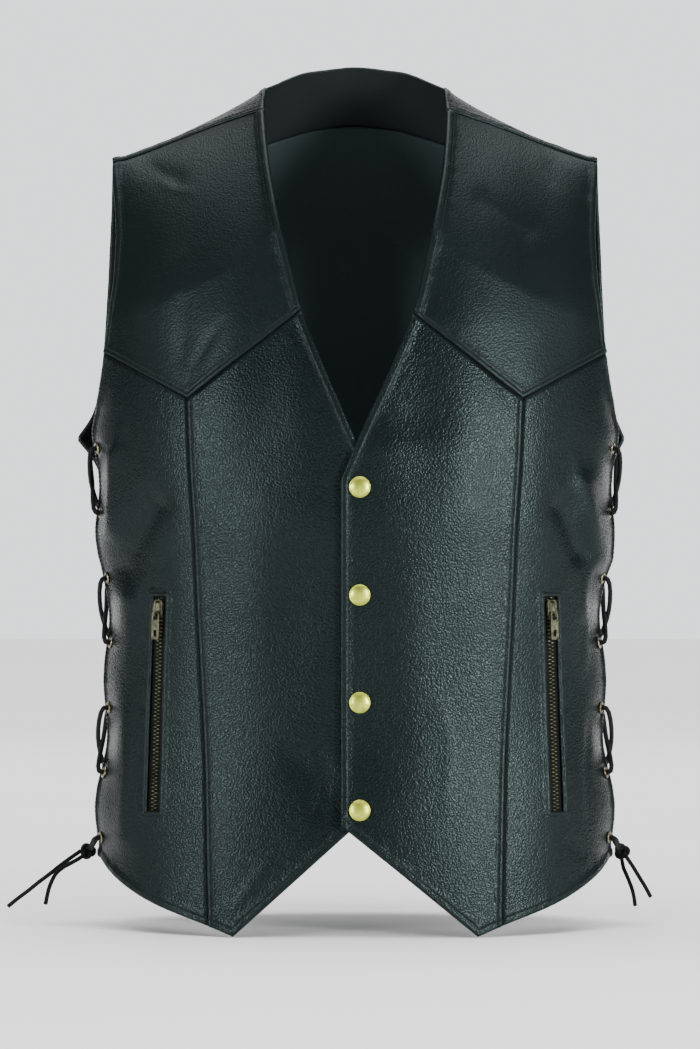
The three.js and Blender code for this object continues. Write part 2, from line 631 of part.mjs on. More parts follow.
// The tape, with its closed teeth as one ridge within the opening
function buildTape(side) {
  const length = ZIP.top - ZIP.bottom;
  const { half, rise, start, slope } = TEETH;
  const edges = [-ZIP.tape / 2, -half - TEETH.side, -half, half, half + TEETH.side, ZIP.tape / 2];
  const ridge = [start + slope, ...span(start + slope, length - start - slope, TEETH.steps)];
  const places = [-ZIP.over, start, ...ridge, length - start, length + ZIP.over];
  const shares = places.map((place) => place / length);
  const from = (start + slope / 2) / length;
  const onRidge = (share) => share > from && share < 1 - from;
  const depth = LEATHER + ZIP_GAP;
  const top = (share, across) => (Math.abs(across) <= half && onRidge(share) ? rise : 0) - depth;
  const low = () => -depth - ZIP.tapeThick;
  add(`zip_tape_${side}`, wall(zipLayer(side, shares, edges, top), zipLayer(side, shares, edges, low)), "tape");
}

// A plate that rides on the teeth, and the bridge over it that holds the pull
function buildSlider(side, frame) {
  const outline = roundedBar(SLIDER.width, SLIDER.length, SLIDER.corner);
  const plate = extruded(outline, SLIDER.high - SLIDER.low, SLIDER.low);
  const end = SLIDER.length / 2 - BRIDGE.inset;
  const foot = SLIDER.high - BRIDGE.sunk;
  const inside = SLIDER.high + BRIDGE.clear;
  const bridge = outlineOf([
    [-end, foot],
    [-end + BRIDGE.post, foot],
    [-end + BRIDGE.post, inside],
    [end - BRIDGE.post, inside],
    [end - BRIDGE.post, foot],
    [end, foot],
    [end, inside + BRIDGE.cornerZ],
    [end - BRIDGE.cornerX, inside + BRIDGE.thick],
    [-end + BRIDGE.cornerX, inside + BRIDGE.thick],
    [-end, inside + BRIDGE.cornerZ],
  ], THREE.Shape);
  const turnUp = new THREE.Matrix4().makeBasis(
    new THREE.Vector3(0, 1, 0), new THREE.Vector3(0, 0, 1), new THREE.Vector3(1, 0, 0));
  const arch = extruded(bridge, BRIDGE.width, -BRIDGE.width / 2).applyMatrix4(turnUp);
  add(`zip_slider_${side}`, geometryFrom(solidOf(plate).add(solidOf(arch))).applyMatrix4(frame), "slider");
}

// A flat tab with a window at its bar and a hole near its lower end
function buildPull(side, frame) {
  const tab = roundedBar(PULL.width, PULL.length, PULL.corner);
  const edge = PULL.width / 2 - PULL.arm;
  const top = PULL.length / 2 - PULL.bar;
  const low = -PULL.length / 2 + PULL_HOLE.end;
  const holeEdge = PULL_HOLE.width / 2;
  tab.holes.push(outlineOf([
    [-edge, top],
    [edge, top],
    [edge, top - PULL.window],
    [-edge, top - PULL.window],
  ], THREE.Path));
  tab.holes.push(outlineOf([
    [-holeEdge, low],
    [holeEdge, low],
    [holeEdge, low + PULL_HOLE.length],
    [-holeEdge, low + PULL_HOLE.length],
  ], THREE.Path));
  const pivot = pullPivot();
  const lower = pivot.y - PULL.length / 2 + PULL.bar / 2;
  const geometry = extruded(tab, PULL.thick, pivot.z - PULL.thick / 2).translate(0, lower, 0);
  add(`zip_pull_${side}`, geometry.applyMatrix4(frame), "slider");
}

function outlineOf(corners, Kind) {
  const outline = new Kind();
  corners.forEach(([x, y], i) => outline[i ? "lineTo" : "moveTo"](x, y));
  return outline;
}

// The pull's bar turns near the bridge's lower post. Given in the slider's own frame.
function pullPivot() {
  const y = -SLIDER.length / 2 + BRIDGE.inset + BRIDGE.post + PULL.bar / 2 + PULL.play;
  return new THREE.Vector3(0, y, SLIDER.high + BRIDGE.clear / 2);
}

function buildZip(side) {
  const frame = zipFrame(side, SLIDER.below / (ZIP.top - ZIP.bottom));
  buildTape(side);
  buildSlider(side, frame);
  buildPull(side, frame);
}

// Press snaps: the cap lies on the left front, and the half that it meets on the right front under it
function buildSnaps() {
  const up = new THREE.Vector3(0, 0, 1);
  const frameOn = (place) => frameAt(bodyPoint(...place), bodyNormal(...place), up);
  for (let i = 0; i < SNAP.count; i++) {
    const z = SNAP.firstZ - SNAP.pitch * i;
    const angle = angleAt(SNAP.x, z);
    const points = CAP.map(({ radius, height }) => new THREE.Vector2(radius, height + SEAT_GAP));
    const cap = new THREE.LatheGeometry(points, SNAP.facets).applyMatrix4(layFlat);
    add(`snap_cap_${i + 1}`, cap.applyMatrix4(frameOn(["front", "left", angle, z])), "snap");
    const stud = new THREE.CylinderGeometry(STUD.radius, STUD.radius, STUD.thick, STUD.facets).applyMatrix4(layFlat);
    stud.translate(0, 0, SEAT_GAP + STUD.thick / 2);
    add(`snap_stud_${i + 1}`, stud.applyMatrix4(frameOn(["front", "right", -angle, z])), "snap");
  }
}

// A tube whose sections stand at its route's points
function tubeAlong(points, radius, sides) {
  const outline = new THREE.Shape();
  for (let i = 0; i < sides; i++) {
    const turn = (2 * Math.PI * i) / sides;
    outline[i ? "lineTo" : "moveTo"](radius * Math.cos(turn), radius * Math.sin(turn));
  }
  const path = new THREE.CatmullRomCurve3(points, false, "centripetal");
  path.getUtoTmapping = (share) => share;
  return new THREE.ExtrudeGeometry(outline, { steps: points.length - 1, extrudePath: path, bevelEnabled: false });
}

// The order in which a lace meets its eyelets: up the side and down again, front and back in turn
function laceStops() {
  const up = eyeletNumbers.map((index) => EYELET.count - 1 - index);
  const down = eyeletNumbers;
  return [
    ...up.map((index, i) => [i % 2 ? "back" : "front", index]),
    ...down.map((index, i) => [i % 2 ? "front" : "back", index]),
  ];
}

function buildLace(side) {
  const sign = SIDES[side];
  const stops = laceStops();
  const spot = (face, index, height) => new THREE.Vector3(0, 0, height).applyMatrix4(eyeletFrame(face, side, index));
  const rim = SEAT_GAP + RING.rise + LACE.overRim;
  const outToIn = [LACE.stand, rim, -LEATHER - RING.end - LACE.underEnd, LACE.hang];
  const points = [];
  stops.forEach(([face, index], i) => {
    const goesIn = i % 2 === 0;
    const heights = goesIn ? outToIn : [...outToIn].reverse();
    heights.forEach((height) => points.push(spot(face, index, height)));
    if (i + 1 === stops.length) return;
    const [nextFace, nextIndex] = stops[i + 1];
    const end = heights[heights.length - 1];
    const middle = spot(face, index, end).add(spot(nextFace, nextIndex, end)).multiplyScalar(0.5);
    const over = index === nextIndex ? 0 : LACE.part * (i < EYELET.count ? 1 : -1);
    middle.x += sign * ((goesIn ? LACE.dip : LACE.bulge) + over);
    points.push(middle);
  });
  const knot = new THREE.Vector3(sign * KNOT.x, KNOT.y, KNOT.z);
  const reach = KNOT.radius / 2 + KNOT.tube + KNOT.room;
  points.unshift(knot.clone().add(new THREE.Vector3(-sign * KNOT.aside, -reach, KNOT.aside)));
  points.push(knot.clone().add(new THREE.Vector3(-sign * KNOT.aside, reach, KNOT.aside)));
  add(`lace_${side}`, tubeAlong(points, LACE.radius, LACE.sides), "lace");

  const tied = new THREE.TorusKnotGeometry(KNOT.radius, KNOT.tube, KNOT.steps, KNOT.sides, 2, 3);
  tied.rotateX(Math.PI / 2).translate(knot.x, knot.y, knot.z);
  add(`knot_${side}`, tied, "lace");
}

function buildLaceEnds() {
  for (const [name, route] of Object.entries(LACE_ENDS)) {
    const points = route.map((point) => new THREE.Vector3(...point));
    add(name, tubeAlong(points, LACE.radius, LACE_END_SIDES), "lace");
  }
}

buildFront("right");
buildFront("left");
buildBack();
for (const side of ["right", "left"]) {
  buildEyelets("front", side);
  buildEyelets("back", side);
  buildZip(side);
  buildLace(side);
}
buildSnaps();
buildLaceEnds();

export default vest;
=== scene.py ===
"""A black leather vest with laced sides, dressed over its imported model.

Blender works in metres, and the pattern's own numbers are in millimetres. The front faces -Y,
and the wearer's left is +X.
"""

import math

import bpy
import numpy as np
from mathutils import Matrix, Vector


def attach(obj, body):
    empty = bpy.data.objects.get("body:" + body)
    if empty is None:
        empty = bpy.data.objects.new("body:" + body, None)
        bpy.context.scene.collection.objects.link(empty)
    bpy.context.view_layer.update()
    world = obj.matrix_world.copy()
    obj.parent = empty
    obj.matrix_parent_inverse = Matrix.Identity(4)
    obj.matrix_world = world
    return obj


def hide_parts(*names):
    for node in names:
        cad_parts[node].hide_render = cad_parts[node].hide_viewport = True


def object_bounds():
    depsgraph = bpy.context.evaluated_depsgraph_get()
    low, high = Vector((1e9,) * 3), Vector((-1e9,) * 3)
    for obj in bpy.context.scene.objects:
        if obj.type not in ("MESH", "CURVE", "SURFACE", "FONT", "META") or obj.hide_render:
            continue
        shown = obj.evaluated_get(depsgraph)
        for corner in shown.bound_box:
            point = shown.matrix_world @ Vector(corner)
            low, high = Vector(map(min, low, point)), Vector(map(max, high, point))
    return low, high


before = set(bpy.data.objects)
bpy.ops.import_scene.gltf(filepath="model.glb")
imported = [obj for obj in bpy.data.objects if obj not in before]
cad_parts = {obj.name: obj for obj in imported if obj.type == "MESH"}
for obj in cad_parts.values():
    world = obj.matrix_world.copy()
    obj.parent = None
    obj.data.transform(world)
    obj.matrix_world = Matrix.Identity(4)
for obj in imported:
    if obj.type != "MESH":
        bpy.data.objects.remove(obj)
cad_low, cad_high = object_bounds()


# The camera.
# The vest is seen from straight in front at chest height, from about 3.6 metres.
camera_data = bpy.data.cameras.new("camera")
camera_data.lens = 162.3
camera_data.sensor_width = 36
camera_data.clip_end = 60
camera = bpy.data.objects.new("camera", camera_data)
camera.location = (-0.0037, -3.63, -0.3141)
camera.rotation_euler = (math.radians(90), 0, 0)
bpy.context.scene.collection.objects.link(camera)
bpy.context.scene.camera = camera


# The free ends of the two laces.
# Each lace is round, black, waxed and tightly braided. It is tied below the last eyelets, and its
# two ends stand out stiffly from the knot.
MM = 0.001
LACE_RADIUS = 1.6


def smooth_route(points, steps):
    """A line that passes smoothly through the points, with that many steps between two of them."""
    points = np.asarray(points, float)
    before = 2 * points[0] - points[1]
    after = 2 * points[-1] - points[-2]
    route = np.vstack([before, points, after])
    knots = np.concatenate([[0], np.cumsum(np.linalg.norm(np.diff(route, axis=0), axis=1) ** 0.5)])
    line = []
    for i in range(1, len(route) - 2):
        p0, p1, p2, p3 = route[i - 1 : i + 3]
        t0, t1, t2, t3 = knots[i - 1 : i + 3]
        t = np.linspace(t1, t2, steps, endpoint=False)[:, None]
        a1 = (t1 - t) / (t1 - t0) * p0 + (t - t0) / (t1 - t0) * p1
        a2 = (t2 - t) / (t2 - t1) * p1 + (t - t1) / (t2 - t1) * p2
        a3 = (t3 - t) / (t3 - t2) * p2 + (t - t2) / (t3 - t2) * p3
        b1 = (t2 - t) / (t2 - t0) * a1 + (t - t0) / (t2 - t0) * a2
        b2 = (t3 - t) / (t3 - t1) * a2 + (t - t1) / (t3 - t1) * a3
        line.append((t2 - t) / (t2 - t1) * b1 + (t - t1) / (t2 - t1) * b2)
    return np.vstack([*line, points[-1:]])


def mesh_object(name, points, faces, uvs=None):
    """A smooth mesh from points in millimetres. The uvs have one row for each corner of each face."""
    mesh = bpy.data.meshes.new(name)
    mesh.from_pydata((np.asarray(points) * MM).tolist(), [], faces)
    mesh.shade_smooth()
    if uvs is not None:
        layer = mesh.uv_layers.new(name="UVMap")
        layer.data.foreach_set("uv", np.asarray(uvs, np.float32).ravel())
    piece = bpy.data.objects.new(name, mesh)
    bpy.context.scene.collection.objects.link(piece)
    return piece


def braided_tube(name, line, radius, sides=10, closed=False):
    """A round cord along a line. Its UV map has the length in millimetres, and the share of a turn."""
    count = len(line)
    steps = np.roll(line, -1, axis=0) - line if closed else np.gradient(line, axis=0)
    tangents = steps / np.linalg.norm(steps, axis=1)[:, None]
    side = np.cross(tangents[0], [0.3, 0.9, 0.2])
    rings = []
    for point, tangent in zip(line, tangents):
        side = side - tangent * (side @ tangent)
        side = side / np.linalg.norm(side)
        other = np.cross(tangent, side)
        turn = 2 * np.pi * np.arange(sides)[:, None] / sides
        rings.append(point + radius * (np.cos(turn) * side + np.sin(turn) * other))
    along = np.concatenate([[0], np.cumsum(np.linalg.norm(np.diff(line, axis=0), axis=1))])
    faces, uvs = [], []
    for i in range(count if closed else count - 1):
        after = (i + 1) % count
        end = along[after] if after else along[-1] + along[1]
        for k in range(sides):
            beside = (k + 1) % sides
            faces.append((i * sides + k, i * sides + beside, after * sides + beside, after * sides + k))
            low, high = k / sides, (k + 1) / sides
            uvs += [(along[i], low), (along[i], high), (end, high), (end, low)]
    points = np.vstack(rings)
    if not closed:
        tip = 0.35 * radius
        points = np.vstack([points, line[0] - tip * tangents[0], line[-1] + tip * tangents[-1]])
        last = (count - 1) * sides
        for k in range(sides):
            beside = (k + 1) % sides
            faces.append((len(points) - 2, beside, k))
            faces.append((len(points) - 1, last + k, last + beside))
            uvs += [(0, 0)] * 3 + [(along[-1], 0)] * 3
    return mesh_object(name, points, faces, uvs)


def new_material(name):
    """A material, with its nodes and its Principled shader."""
    material = bpy.data.materials.new(name)
    material.use_nodes = True
    nodes = material.node_tree.nodes
    return material, nodes, material.node_tree.links, nodes["Principled BSDF"]


def blend_colours(nodes, links, share, low, high):
    """A node that mixes two colours by a share from 0 to 1."""
    ramp = nodes.new("ShaderNodeValToRGB")
    ramp.color_ramp.elements[0].color = (*low, 1)
    ramp.color_ramp.elements[1].color = (*high, 1)
    links.new(share, ramp.inputs["Fac"])
    return ramp.outputs["Color"]


def math_node(nodes, links, operation, *values):
    """A Math node's output, from numbers and other nodes' outputs."""
    node = nodes.new("ShaderNodeMath")
    node.operation = operation
    for socket, value in zip(node.inputs, values):
        if isinstance(value, (int, float)):
            socket.default_value = value
        else:
            links.new(value, socket)
    return node.outputs["Value"]


def raise_surface(nodes, links, shader, height, strength, distance):
    """Gives a shader's surface small bumps from a height."""
    bump = nodes.new("ShaderNodeBump")
    bump.inputs["Strength"].default_value = strength
    bump.inputs["Distance"].default_value = distance
    links.new(height, bump.inputs["Height"])
    links.new(bump.outputs["Normal"], shader.inputs["Normal"])


def braid_group():
    """Strands that cross over and under each other round a cord, from its UV map."""
    group = bpy.data.node_groups.new("braid", "ShaderNodeTree")
    for name, value in (("Pitch", 2.4), ("Strands", 4)):
        group.interface.new_socket(name, in_out="INPUT", socket_type="NodeSocketFloat").default_value = value
    group.interface.new_socket("Height", in_out="OUTPUT", socket_type="NodeSocketFloat")
    nodes, links = group.nodes, group.links
    given = nodes.new("NodeGroupInput")
    result = nodes.new("NodeGroupOutput")
    place = nodes.new("ShaderNodeUVMap")
    parts = nodes.new("ShaderNodeSeparateXYZ")
    links.new(place.outputs["UV"], parts.inputs["Vector"])
    along = math_node(nodes, links, "DIVIDE", parts.outputs["X"], given.outputs["Pitch"])
    around = math_node(nodes, links, "MULTIPLY", parts.outputs["Y"], given.outputs["Strands"])
    strands = []
    for direction in ("ADD", "SUBTRACT"):
        phase = math_node(nodes, links, direction, along, around)
        wave = math_node(nodes, links, "SINE", math_node(nodes, links, "MULTIPLY", phase, 2 * math.pi))
        strands.append(wave)
    links.new(math_node(nodes, links, "MAXIMUM", *strands), result.inputs["Height"])
    return group


def lace_material():
    """Waxed black cord, with painted shade between its strands."""
    material, nodes, links, shader = new_material("waxed_lace")
    braid = nodes.new("ShaderNodeGroup")
    braid.node_tree = braid_group()
    share = math_node(nodes, links, "MULTIPLY_ADD", braid.outputs["Height"], 0.5, 0.5)
    links.new(blend_colours(nodes, links, share, (0.0006, 0.0008, 0.0008), (0.0045, 0.006, 0.006)),
              shader.inputs["Base Color"])
    raise_surface(nodes, links, shader, braid.outputs["Height"], 0.9, 0.0004)
    shader.inputs["Roughness"].default_value = 0.65
    shader.inputs["Specular IOR Level"].default_value = 0.12
    return material


lace_cord = lace_material()
LACE_ENDS = {
    "lace_end_right_1": [
        (-210.4, 1.5, -564.6), (-219, -2, -570.5), (-226.5, -4, -576), (-234, -5, -582),
        (-242, -5, -588), (-250, -4, -594.5), (-258, -3, -600.5), (-266, -2, -607),
    ],
    "lace_end_right_2": [
        (-207.1, -0.7, -567.4), (-212, -5, -570.5), (-217.5, -6.4, -573.5), (-223, -7, -576.5),
        (-228.5, -8, -581), (-232, -8, -587), (-234.3, -8, -593), (-235.8, -7, -599), (-237, -6, -605),
    ],
    "lace_end_left_1": [
        (207.7, -0.7, -568.2), (212.7, -4, -575.5), (215.6, -5, -580.3), (218.6, -5, -585.2),
        (221.6, -5, -590), (224.4, -4, -595), (226.8, -4, -599.6),
    ],
    "lace_end_left_2": [
        (204.9, 3.3, -570.2), (206.6, 5, -578.2), (208.8, 5, -583.4), (211, 5, -588.6),
        (213, 5, -594), (214.4, 4, -600), (215.4, 3, -607),
    ],
}
for node_name, route in LACE_ENDS.items():
    line = smooth_route(route, 4)
    end = braided_tube(f"{node_name}_cord", line, LACE_RADIUS)
    end.data.materials.append(lace_cord)
    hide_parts(node_name)
    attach(end, "vest")


# The two yokes.
# They are cut from pebbled black cowhide, which is two millimetres thick here. Each runs from the
# shoulder seam to the pointed seam, which it overlaps, and its other edges are turned and stitched.
LEATHER = 2.0
SQUARENESS = 2.2
CHEST_ARCH = (130, 1.5)
BACK_ARCH = (150, 1.7)
SIDES = {"right": -1, "left": 1}


def smooth_line(rows):
    """A smooth line through rows of place and value, straight beyond its ends."""
    places, values = (np.array(column, float) for column in zip(*sorted(rows)))
    slopes = np.diff(values) / np.diff(places)
    product = slopes[:-1] * slopes[1:]
    middle = np.where(product > 0, 2 * product / np.where(product > 0, slopes[:-1] + slopes[1:], 1), 0)
    tangents = np.concatenate([slopes[:1], middle, slopes[-1:]])

    def value_at(place):
        """The line's value at a place."""
        place = np.asarray(place, float)
        i = np.clip(np.searchsorted(places, place, side="right") - 1, 0, len(places) - 2)
        step = places[i + 1] - places[i]
        u = (place - places[i]) / step
        inside = values[i] * (1 + 2 * u) * (1 - u) ** 2 + step * tangents[i] * u * (1 - u) ** 2
        inside = inside + values[i + 1] * u * u * (3 - 2 * u) + step * tangents[i + 1] * u * u * (u - 1)
        low = values[0] + tangents[0] * (place - places[0])
        high = values[-1] + tangents[-1] * (place - places[-1])
        return np.where(place <= places[0], low, np.where(place >= places[-1], high, inside))

    return value_at


def ease(low, high, value):
    """A smooth step from 0 at the low value to 1 at the high one."""
    t = np.clip((np.asarray(value, float) - low) / (high - low), 0, 1)
    return t * t * (3 - 2 * t)


# The body under the leather: height, half width, front depth and back depth
FIGURE = [
    (60, 188, 100, 112), (0, 192, 102, 114), (-40, 196, 104, 116), (-100, 198, 110, 118),
    (-170, 200, 125, 117), (-240, 201, 134, 114), (-300, 198, 135, 110), (-350, 193, 132, 106),
    (-420, 190, 128, 105), (-470, 193, 127, 109), (-530, 197, 130, 115), (-640, 200, 134, 121),
]
half_width = smooth_line([(z, half) for z, half, front, back in FIGURE])
front_depth = smooth_line([(z, front) for z, half, front, back in FIGURE])
back_depth = smooth_line([(z, back) for z, half, front, back in FIGURE])

# The eyelets' heights, at which the laces draw the edges in
EYELET_FIRST, EYELET_PITCH = -256, 49.3

# Over the shoulders: distance out, height, and how far forward the shoulder seam lies
SHOULDER = [
    (-36, 53, 18), (0, 64, 18), (36, 53, 18), (53, 38, 18), (69, 20.5, 18), (82, 12, 13.4),
    (111, -3.6, 6.6), (151, -22, 3), (191, -36, 2.4), (230, -48, 2.4),
]
plain_shoulder = smooth_line([(x, z) for x, z, drop in SHOULDER])
seam_drop = smooth_line([(x, drop) for x, z, drop in SHOULDER])


def shoulder_line(x):
    """The height over the shoulders, softened over a few millimetres as thick leather lies."""
    offsets = np.linspace(-14, 14, 9)
    weights = np.exp(-((offsets / 8) ** 2))
    heights = [weight * plain_shoulder(np.abs(x + offset)) for weight, offset in zip(weights, offsets)]
    return sum(heights) / weights.sum()


# The largest folds: side, from, to, width and height
FRONT_FOLDS = [
    ("right", (152, -300), (176, -345), 12, -3.3), ("right", (184, -262), (182, -318), 8, 2.6),
    ("right", (172, -372), (174, -550), 9, 2.2), ("right", (40, -490), (14, -522), 14, -1.6),
    ("right", (158, -42), (136, -52), 9, -0.8), ("left", (172, -284), (184, -340), 9, 3.2),
    ("left", (158, -302), (172, -334), 10, -4), ("left", (98, -70), (130, -92), 9, -1.3),
    ("left", (152, -40), (176, -62), 9, -0.9),
]
BACK_FOLDS = [
    ("right", (120, -360), (60, -378), 13, -2.6), ("left", (128, -382), (72, -396), 13, -2.8),
    ("right", (150, -200), (120, -260), 13, 2.2), ("left", (152, -190), (128, -262), 13, 2.4),
    ("left", (150, -430), (140, -530), 12, 2), ("right", (146, -440), (140, -525), 12, 1.8),
]
# Finer creases: side, width, height, and the points that each passes
FRONT_CREASES = [
    ("right", 4, 0.9, [(176, -236), (182, -262), (184, -300), (180, -330)]),
    ("right", 7, -0.6, [(148, -296), (158, -316), (172, -338)]),
    ("right", 3.5, 0.7, [(160, -350), (168, -385), (170, -430)]),
    ("right", 3, 0.6, [(172, -450), (170, -500), (175, -545)]),
    ("right", 4, -0.4, [(158, -38), (146, -48), (128, -54)]),
    ("right", 3, 0.5, [(150, -52), (138, -60), (118, -64)]),
    ("right", 5, -0.6, [(132, -140), (128, -170), (130, -196)]),
    ("right", 4, -0.6, [(96, -160), (110, -178), (121, -200)]),
    ("right", 6, -0.8, [(28, -470), (20, -500), (30, -535)]),
    ("right", 4, 0.5, [(62, -560), (80, -585), (94, -604)]),
    ("right", 5, -0.5, [(118, -250), (108, -300), (102, -360)]),
    ("left", 4, 1.3, [(166, -258), (170, -286), (177, -313), (180, -335), (175, -356), (171, -388)]),
    ("left", 5, 0.6, [(150, -280), (158, -296), (166, -300)]),
    ("left", 3.5, 0.7, [(170, -356), (176, -392), (172, -430)]),
    ("left", 3, -0.6, [(178, -455), (174, -500), (178, -540)]),
    ("left", 3.5, -0.6, [(98, -70), (112, -80), (130, -92)]),
    ("left", 4, -0.4, [(150, -38), (164, -50), (178, -66)]),
    ("left", 4, 0.5, [(150, -56), (160, -66), (172, -84)]),
    ("left", 5, -0.7, [(158, -548), (166, -558), (174, -566)]),
    ("left", 5, -0.5, [(100, -200), (112, -214), (124, -240)]),
    ("left", 6, 0.5, [(60, -440), (70, -480), (66, -530)]),
]
BACK_CREASES = [
    ("right", 4, -0.9, [(128, -352), (98, -366), (60, -376)]),
    ("right", 3.5, 0.7, [(116, -384), (86, -396), (52, -398)]),
    ("left", 4, -0.9, [(134, -376), (104, -390), (66, -398)]),
    ("left", 3.5, 0.6, [(118, -404), (88, -416), (58, -416)]),
    ("right", 4, 0.8, [(150, -196), (134, -226), (122, -262)]),
    ("left", 4, 0.8, [(152, -186), (140, -220), (126, -264)]),
    ("left", 5, -0.7, [(30, -90), (60, -120), (96, -140)]),
    ("right", 5, -0.6, [(22, -110), (56, -132), (90, -160)]),
    ("right", 4, 0.6, [(150, -440), (142, -480), (146, -520)]),
    ("left", 4, 0.7, [(154, -420), (144, -470), (148, -530)]),
]
CORNER_FLARE = {"right": 16.5, "left": 9}
LACE_PULL = 3
OVERLAP_STEP = 4.3
RIPPLE_HEIGHT = 0.16
ripple_dice = np.random.default_rng(11)
RIPPLES = [
    (ripple_dice.uniform(0.05, 0.13), ripple_dice.uniform(-0.05, 0.05), ripple_dice.uniform(0, 6.28))
    for _ in range(9)
]


def near_line(x, z, points):
    """Distance from a line of points, and the share of the line at which it is nearest."""
    best = np.full(np.shape(x), 1e9)
    share = np.zeros(np.shape(x))
    for i, ((ax, az), (bx, bz)) in enumerate(zip(points, points[1:])):
        dx, dz = bx - ax, bz - az
        t = np.clip(((x - ax) * dx + (z - az) * dz) / (dx * dx + dz * dz), 0, 1)
        away = np.hypot(x - ax - t * dx, z - az - t * dz)
        closer = away < best
        best = np.where(closer, away, best)
        share = np.where(closer, (i + t) / (len(points) - 1), share)
    return best, share


def fold_lift(face, side, x, z):
    """How far the folds, the creases and the faint ripples push the leather out."""
    lift = np.zeros(np.shape(x))
    for fold_side, start, end, width, height in FRONT_FOLDS if face == "front" else BACK_FOLDS:
        if fold_side == side:
            away, _ = near_line(x, z, [start, end])
            lift = lift + height * np.exp(-((away / width) ** 2))
    for crease_side, width, height, points in FRONT_CREASES if face == "front" else BACK_CREASES:
        if crease_side == side:
            away, share = near_line(x, z, points)
            fade = np.sqrt(np.clip(4 * share * (1 - share), 0, 1))
            lift = lift + height * fade * np.exp(-((away / width) ** 2))
    wander = sum(np.sin(a * x * SIDES[side] + b * z + c) for a, b, c in RIPPLES)
    return lift + RIPPLE_HEIGHT * wander


def body_point(face, side, angle, z, creased=True):
    """Points of the leather's outer face, in millimetres. Angles run round from the centre line."""
    angle, z = np.broadcast_arrays(np.asarray(angle, float), np.asarray(z, float))
    phi = np.radians(angle)
    x = half_width(z) * np.sin(phi)
    section = np.clip(1 - np.abs(np.sin(phi)) ** SQUARENESS, 0, 1) ** (1 / SQUARENESS)
    height, power = CHEST_ARCH if face == "front" else BACK_ARCH
    up = np.clip(1 - (shoulder_line(np.abs(x)) - z) / height, 0, None)
    over = np.clip(1 - up**power, 0, 1) ** (1 / power)
    depth = (front_depth(z) if face == "front" else back_depth(z)) * section * over
    step = (EYELET_FIRST - z) / EYELET_PITCH
    laced = ease(-0.6, 0, step) * (1 - ease(6, 6.5, step)) * ease(62, 82, angle)
    out = -LACE_PULL * np.sin(np.pi * step) * laced
    if creased:
        out = out + fold_lift(face, side, x, z)
    if face == "front" and side == "left":
        out = out + OVERLAP_STEP * (1 - ease(10, 120, x)) * (1 - ease(-262, -232, z))
    flare = 0
    if face == "back":
        flare = CORNER_FLARE[side] * np.exp(-((np.abs(z + 248) / 17) ** 1.2)) * ease(64, 82, angle)
    toward = -1 if face == "front" else 1
    across = SIDES[side] * (x + out * np.sin(phi) + flare)
    return np.stack([across, toward * (depth + out * np.cos(phi)), z], axis=-1)


def unit(vectors):
    """Vectors of the same directions, one millimetre long."""
    return vectors / np.maximum(np.linalg.norm(vectors, axis=-1, keepdims=True), 1e-9)


def body_normal(face, side, angle, z):
    """Outward normals of the plain form."""
    angle, z = np.broadcast_arrays(np.asarray(angle, float), np.asarray(z, float))
    top = np.minimum(z + 0.4, shoulder_line(half_width(z) * np.sin(np.radians(angle))) - 0.05)
    near = body_point(face, side, angle - 0.2, z, False)
    far = body_point(face, side, angle + 0.2, z, False)
    above = body_point(face, side, angle, np.maximum(top, z), False)
    below = body_point(face, side, angle, z - 0.4, False)
    outward = SIDES[side] * (-1 if face == "front" else 1)
    return outward * unit(np.cross(far - near, below - above))


def angle_at(x, z):
    """The angle round the body at a distance from the centre line."""
    return np.degrees(np.arcsin(np.clip(x / half_width(z), -0.999, 0.999)))


# The edges of the front panels: neck, front edge, armhole, and the seams between the panels
NECK = {
    "right": [(20, 71), (2, 69.6), (-40, 65.4), (-80, 58.4), (-120, 48.6), (-154, 39.8),
              (-197, 22.9), (-254, -1.5), (-281, -12), (-310, -24)],
    "left": [(20, 71), (2, 70.4), (-40, 67.3), (-80, 60.6), (-120, 52.2), (-154, 44),
             (-197, 26.6), (-254, 0.6), (-281, -10.6), (-310, -22)],
}
FRONT_EDGE = {"right": -14, "left": -10.4}
neck_edge = {side: smooth_line(rows) for side, rows in NECK.items()}
ARMHOLE = [
    (10, 72, 78), (-38, 71.8, 77), (-74, 68.4, 75.5), (-100, 66.8, 75.5), (-124, 66.8, 75),
    (-150, 68.4, 75), (-184, 71.4, 76), (-207, 74.2, 77.5), (-226, 78, 79), (-243, 80.5, 79.5),
    (-290, 81, 80), (-640, 81, 80),
]
armhole = {
    "front": smooth_line([(z, front) for z, front, back in ARMHOLE]),
    "back": smooth_line([(z, back) for z, front, back in ARMHOLE]),
}
long_seam = smooth_line([
    (-200, 126), (-220, 125), (-268, 123), (-318, 120), (-359, 118.2), (-434, 114.6),
    (-499, 111.8), (-611, 109.3), (-640, 108.6),
])


# The pointed seam under the yoke, from the neck through its lowest point to the armhole
YOKE_SEAM = [(42, -156), (125, -220), (190, -184)]


def yoke_seam(x):
    """The height of the pointed seam."""
    slopes = [z0 + (x - x0) / (x1 - x0) * (z1 - z0) for (x0, z0), (x1, z1) in zip(YOKE_SEAM, YOKE_SEAM[1:])]
    return np.maximum(*slopes)


def shoulder_seam(x):
    """The height of the seam in front of the shoulder."""
    return shoulder_line(x) - seam_drop(x)


def inner_edge(side):
    """The angle of the neck edge and, below it, of the front edge."""
    return lambda z: angle_at(np.maximum(neck_edge[side](z), FRONT_EDGE[side]), z)


def seam_angle(z):
    """The angle of the long seam down a front."""
    return angle_at(long_seam(z), z)


def between(low, high):
    """The angle at a share of the way between two lines that run down the body."""
    return lambda share, z: low(z) + (high(z) - low(z)) * share


def meet(line_height, angle_of, shares):
    """The heights at which the columns of a panel meet a line."""
    z = np.full(np.shape(shares), float(YOKE_SEAM[1][1]))
    for _ in range(16):
        z = line_height(half_width(z) * np.sin(np.radians(angle_of(shares, z))))
    return z


